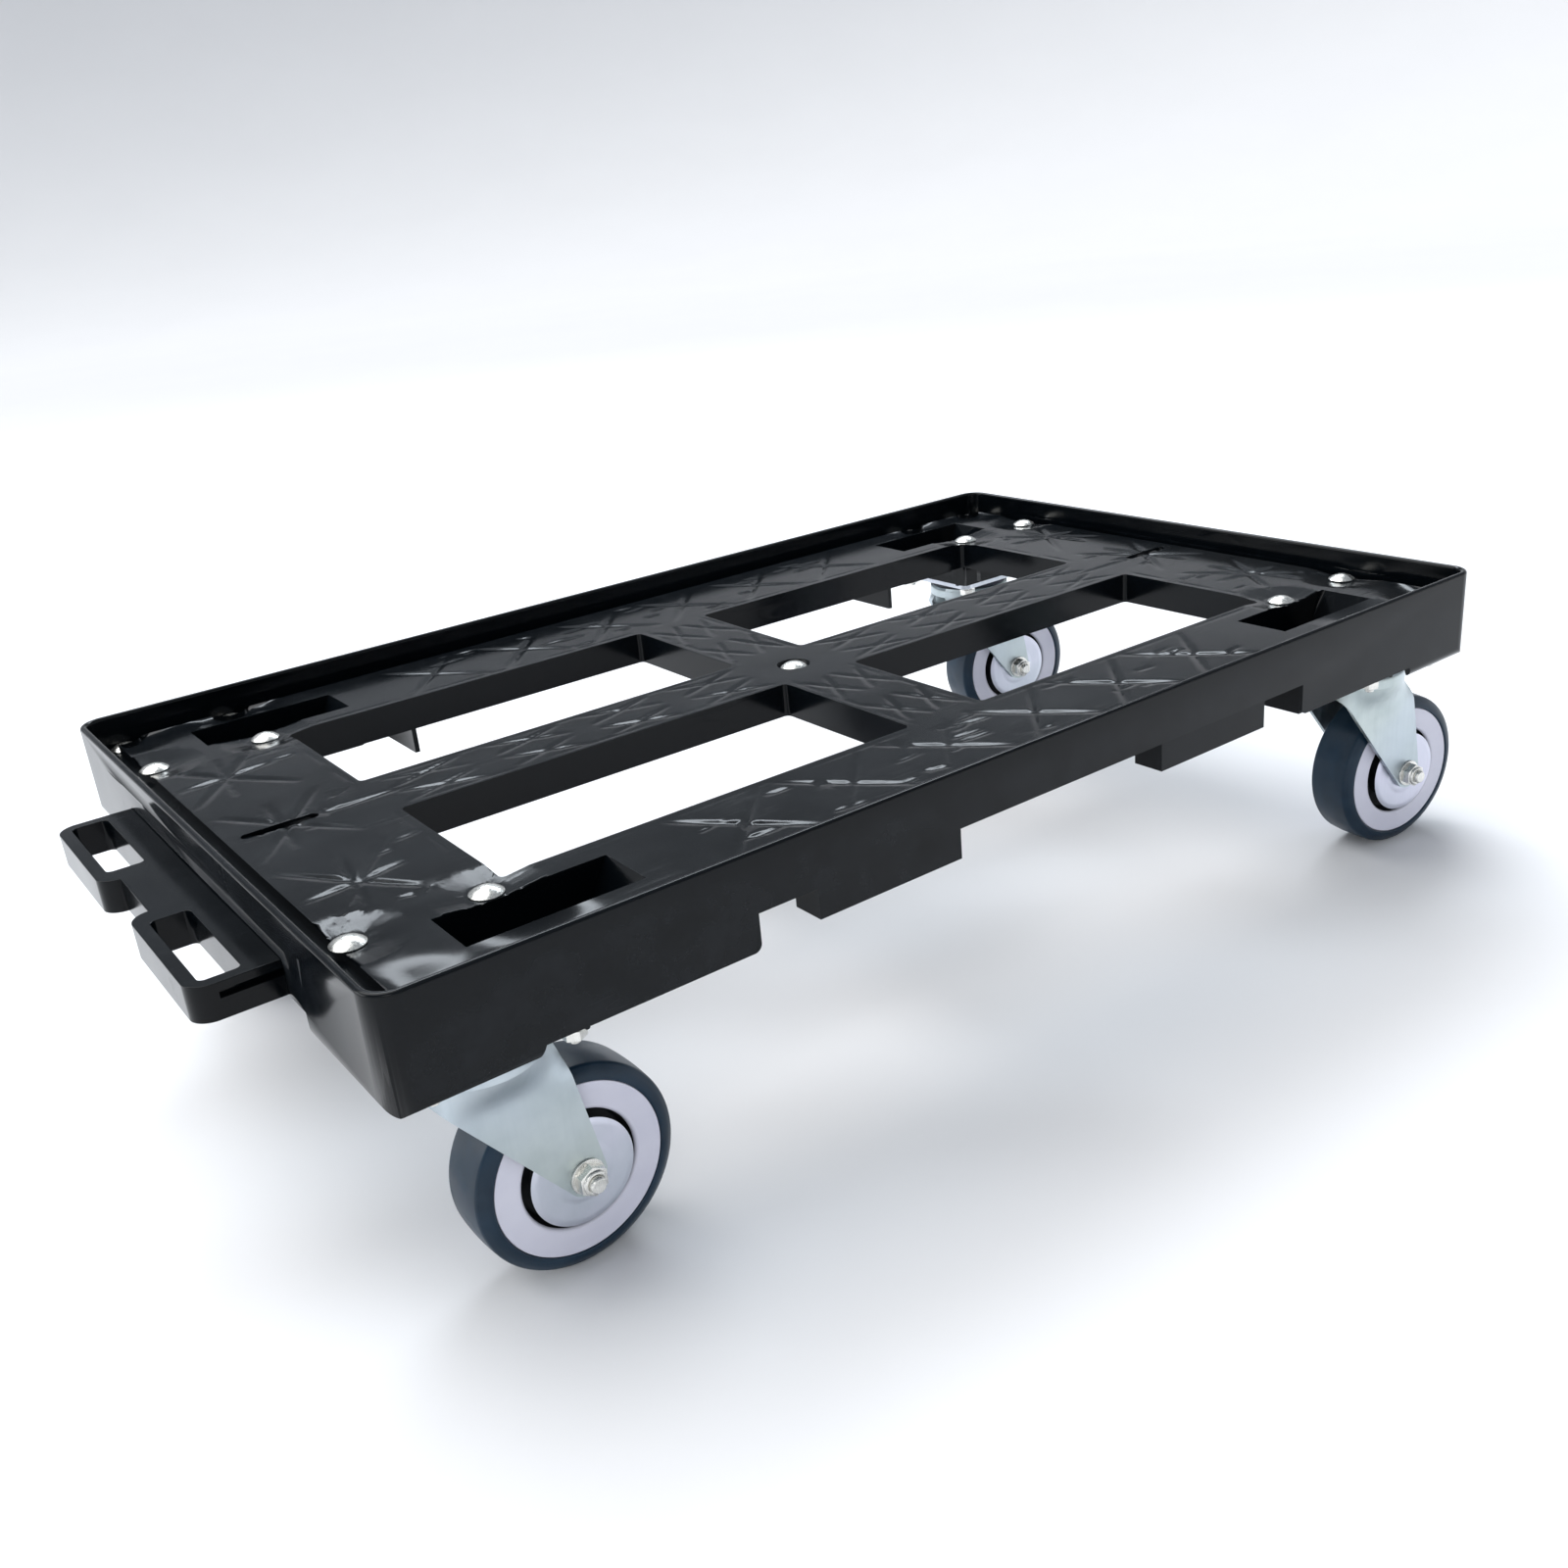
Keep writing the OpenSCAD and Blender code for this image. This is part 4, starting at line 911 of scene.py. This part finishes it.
def buildAxle(name, wheel):
    low, high = boxIn(name + "_axle_bolt", wheel)
    nutLow, nutHigh = boxIn(name + "_axle_nut", wheel)
    legOut, radius = nutLow.z, 0.004
    bm = turned([(0, high.z, 0), (radius - 0.0007, high.z, 0.0003), (radius, high.z - 0.0008, 0.0002),
                 (radius, -legOut - 0.001, 0), (0, -legOut - 0.001, 0)], 48)
    head = hexNut(0.00744, -legOut - low.z, 0.0022)
    bmesh.ops.translate(head, vec=(0, 0, low.z), verts=head.verts)
    join(bm, head)
    flange = turned([(0.001, -legOut - 0.0009, 0), (0.0082, -legOut - 0.0009, 0.0003), (0.0082, -legOut, 0.0001),
                     (0.001, -legOut, 0)], 48, 2)
    join(bm, flange)
    finishPiece(name + "_axle_bolt_chamfered", bm, brightSteel, name + "_swivel",
                [name + "_axle_bolt"], wheel)
    nut = hexNut(0.00744, 0.0062, 0.0035)
    bmesh.ops.translate(nut, vec=(0, 0, nutLow.z + 0.0004), verts=nut.verts)
    flange = turned([(radius, nutLow.z, 0), (nutHigh.x, nutLow.z, 0.0003), (nutHigh.x, nutLow.z + 0.0011, 0.0005),
                     (radius, nutLow.z + 0.0014, 0)], 48, 2)
    collar = turned([(radius, nutHigh.z - 0.003, 0), (0.0061, nutHigh.z - 0.003, 0), (0.0059, nutHigh.z - 0.0006, 0.0006),
                     (radius + 0.0006, nutHigh.z, 0.0004), (radius, nutHigh.z - 0.0004, 0.0001)], 48, 3)
    for part in (flange, collar):
        join(nut, part)
        part.free()
    finishPiece(name + "_lock_nut", nut, brightSteel, name + "_swivel", [name + "_axle_nut"], wheel)


for name in casters:
    place, wheel = casterPlace(name)
    buildWheel(name, wheel)
    buildGuards(name, wheel)
    buildFork(name, place, wheel)
    buildHead(name, place)
    buildAxle(name, wheel)
    print(name, "caster built")

# ---- floor and light ----


def addStage():
    flat, run, rise = 6.0, 4.0, 3.4                         # flat floor that curls up into a low wall all round
    bm = bmesh.new()
    outline = [(0, 0), (flat, 0)] + [(flat + run * math.sin(a), rise * (1 - math.cos(a)))
                                     for a in np.linspace(0, math.pi / 2, 17)[1:]]
    verts = [bm.verts.new((r, 0, z)) for r, z in outline]
    for pair in zip(verts, verts[1:]):
        bm.edges.new(pair)
    bmesh.ops.spin(bm, geom=bm.verts[:] + bm.edges[:], cent=(0, 0, 0), axis=(0, 0, 1), dvec=(0, 0, 0),
                   angle=math.tau, steps=96, use_merge=True, use_duplicate=False)
    bmesh.ops.remove_doubles(bm, verts=bm.verts, dist=1e-5)
    bmesh.ops.recalc_face_normals(bm, faces=bm.faces)
    mesh = bpy.data.meshes.new("floor")
    bm.to_mesh(mesh)
    bm.free()
    for polygon in mesh.polygons:
        polygon.use_smooth = True
    floor = bpy.data.objects.new("floor", mesh)
    material, tree, shader = startMaterial("paleFloor", Roughness=0.9, Specular_IOR_Level=0.2)
    place = addNode(tree, "ShaderNodeTexCoord").outputs["Object"]
    tone = mixColour(tree, noiseAt(tree, place, 2, 3), (0.84, 0.84, 0.85), (0.87, 0.87, 0.88))
    tree.links.new(tone, shader.inputs["Base Color"])
    mesh.materials.append(material)
    bpy.context.scene.collection.objects.link(floor)


def addLight(name, place, aim, size, power, tint=(1, 1, 1)):
    data = bpy.data.lights.new(name, "AREA")
    data.shape = "RECTANGLE"
    data.size, data.size_y = size
    data.energy = power
    data.color = tint
    lamp = bpy.data.objects.new(name, data)
    lamp.location = place
    lamp.rotation_euler = (Vector(aim) - Vector(place)).to_track_quat("-Z", "Y").to_euler()
    lamp.visible_camera = False
    bpy.context.scene.collection.objects.link(lamp)


def addWorld():
    bpy.context.scene.view_settings.view_transform = "Standard"
    world = bpy.data.worlds.new("studio")
    bpy.context.scene.world = world
    world.use_nodes = True
    world.node_tree.nodes["Background"].inputs[0].default_value = (0.84, 0.91, 1.0, 1)
    world.node_tree.nodes["Background"].inputs[1].default_value = 0.42


def addSun(turn, strength, spread):
    data = bpy.data.lights.new("skylight", "SUN")
    data.energy, data.angle = strength, spread
    lamp = bpy.data.objects.new("skylight", data)
    lamp.rotation_euler = turn
    bpy.context.scene.collection.objects.link(lamp)


lamps = (
    dict(name="backStrip", place=(1.1, 1.5, 2.0), aim=(0, 0, 0.15), size=(2.4, 0.5), power=44, tint=(0.86, 0.93, 1)),
    dict(name="leftWindow", place=(-2.0, 0.9, 0.8), aim=(-0.2, 0, 0.1), size=(1.6, 1.0), power=16, tint=(0.98, 1, 1)),
    dict(name="frontFill", place=(-1.4, -1.8, 1.4), aim=(0, 0, 0.1), size=(1.0, 0.8), power=6, tint=(1, 0.99, 0.97)))

addStage()
addWorld()
addSun((math.radians(-22), math.radians(-14), 0), 2.5, 0.9)
for lamp in lamps:
    addLight(**lamp)
print("stage set")
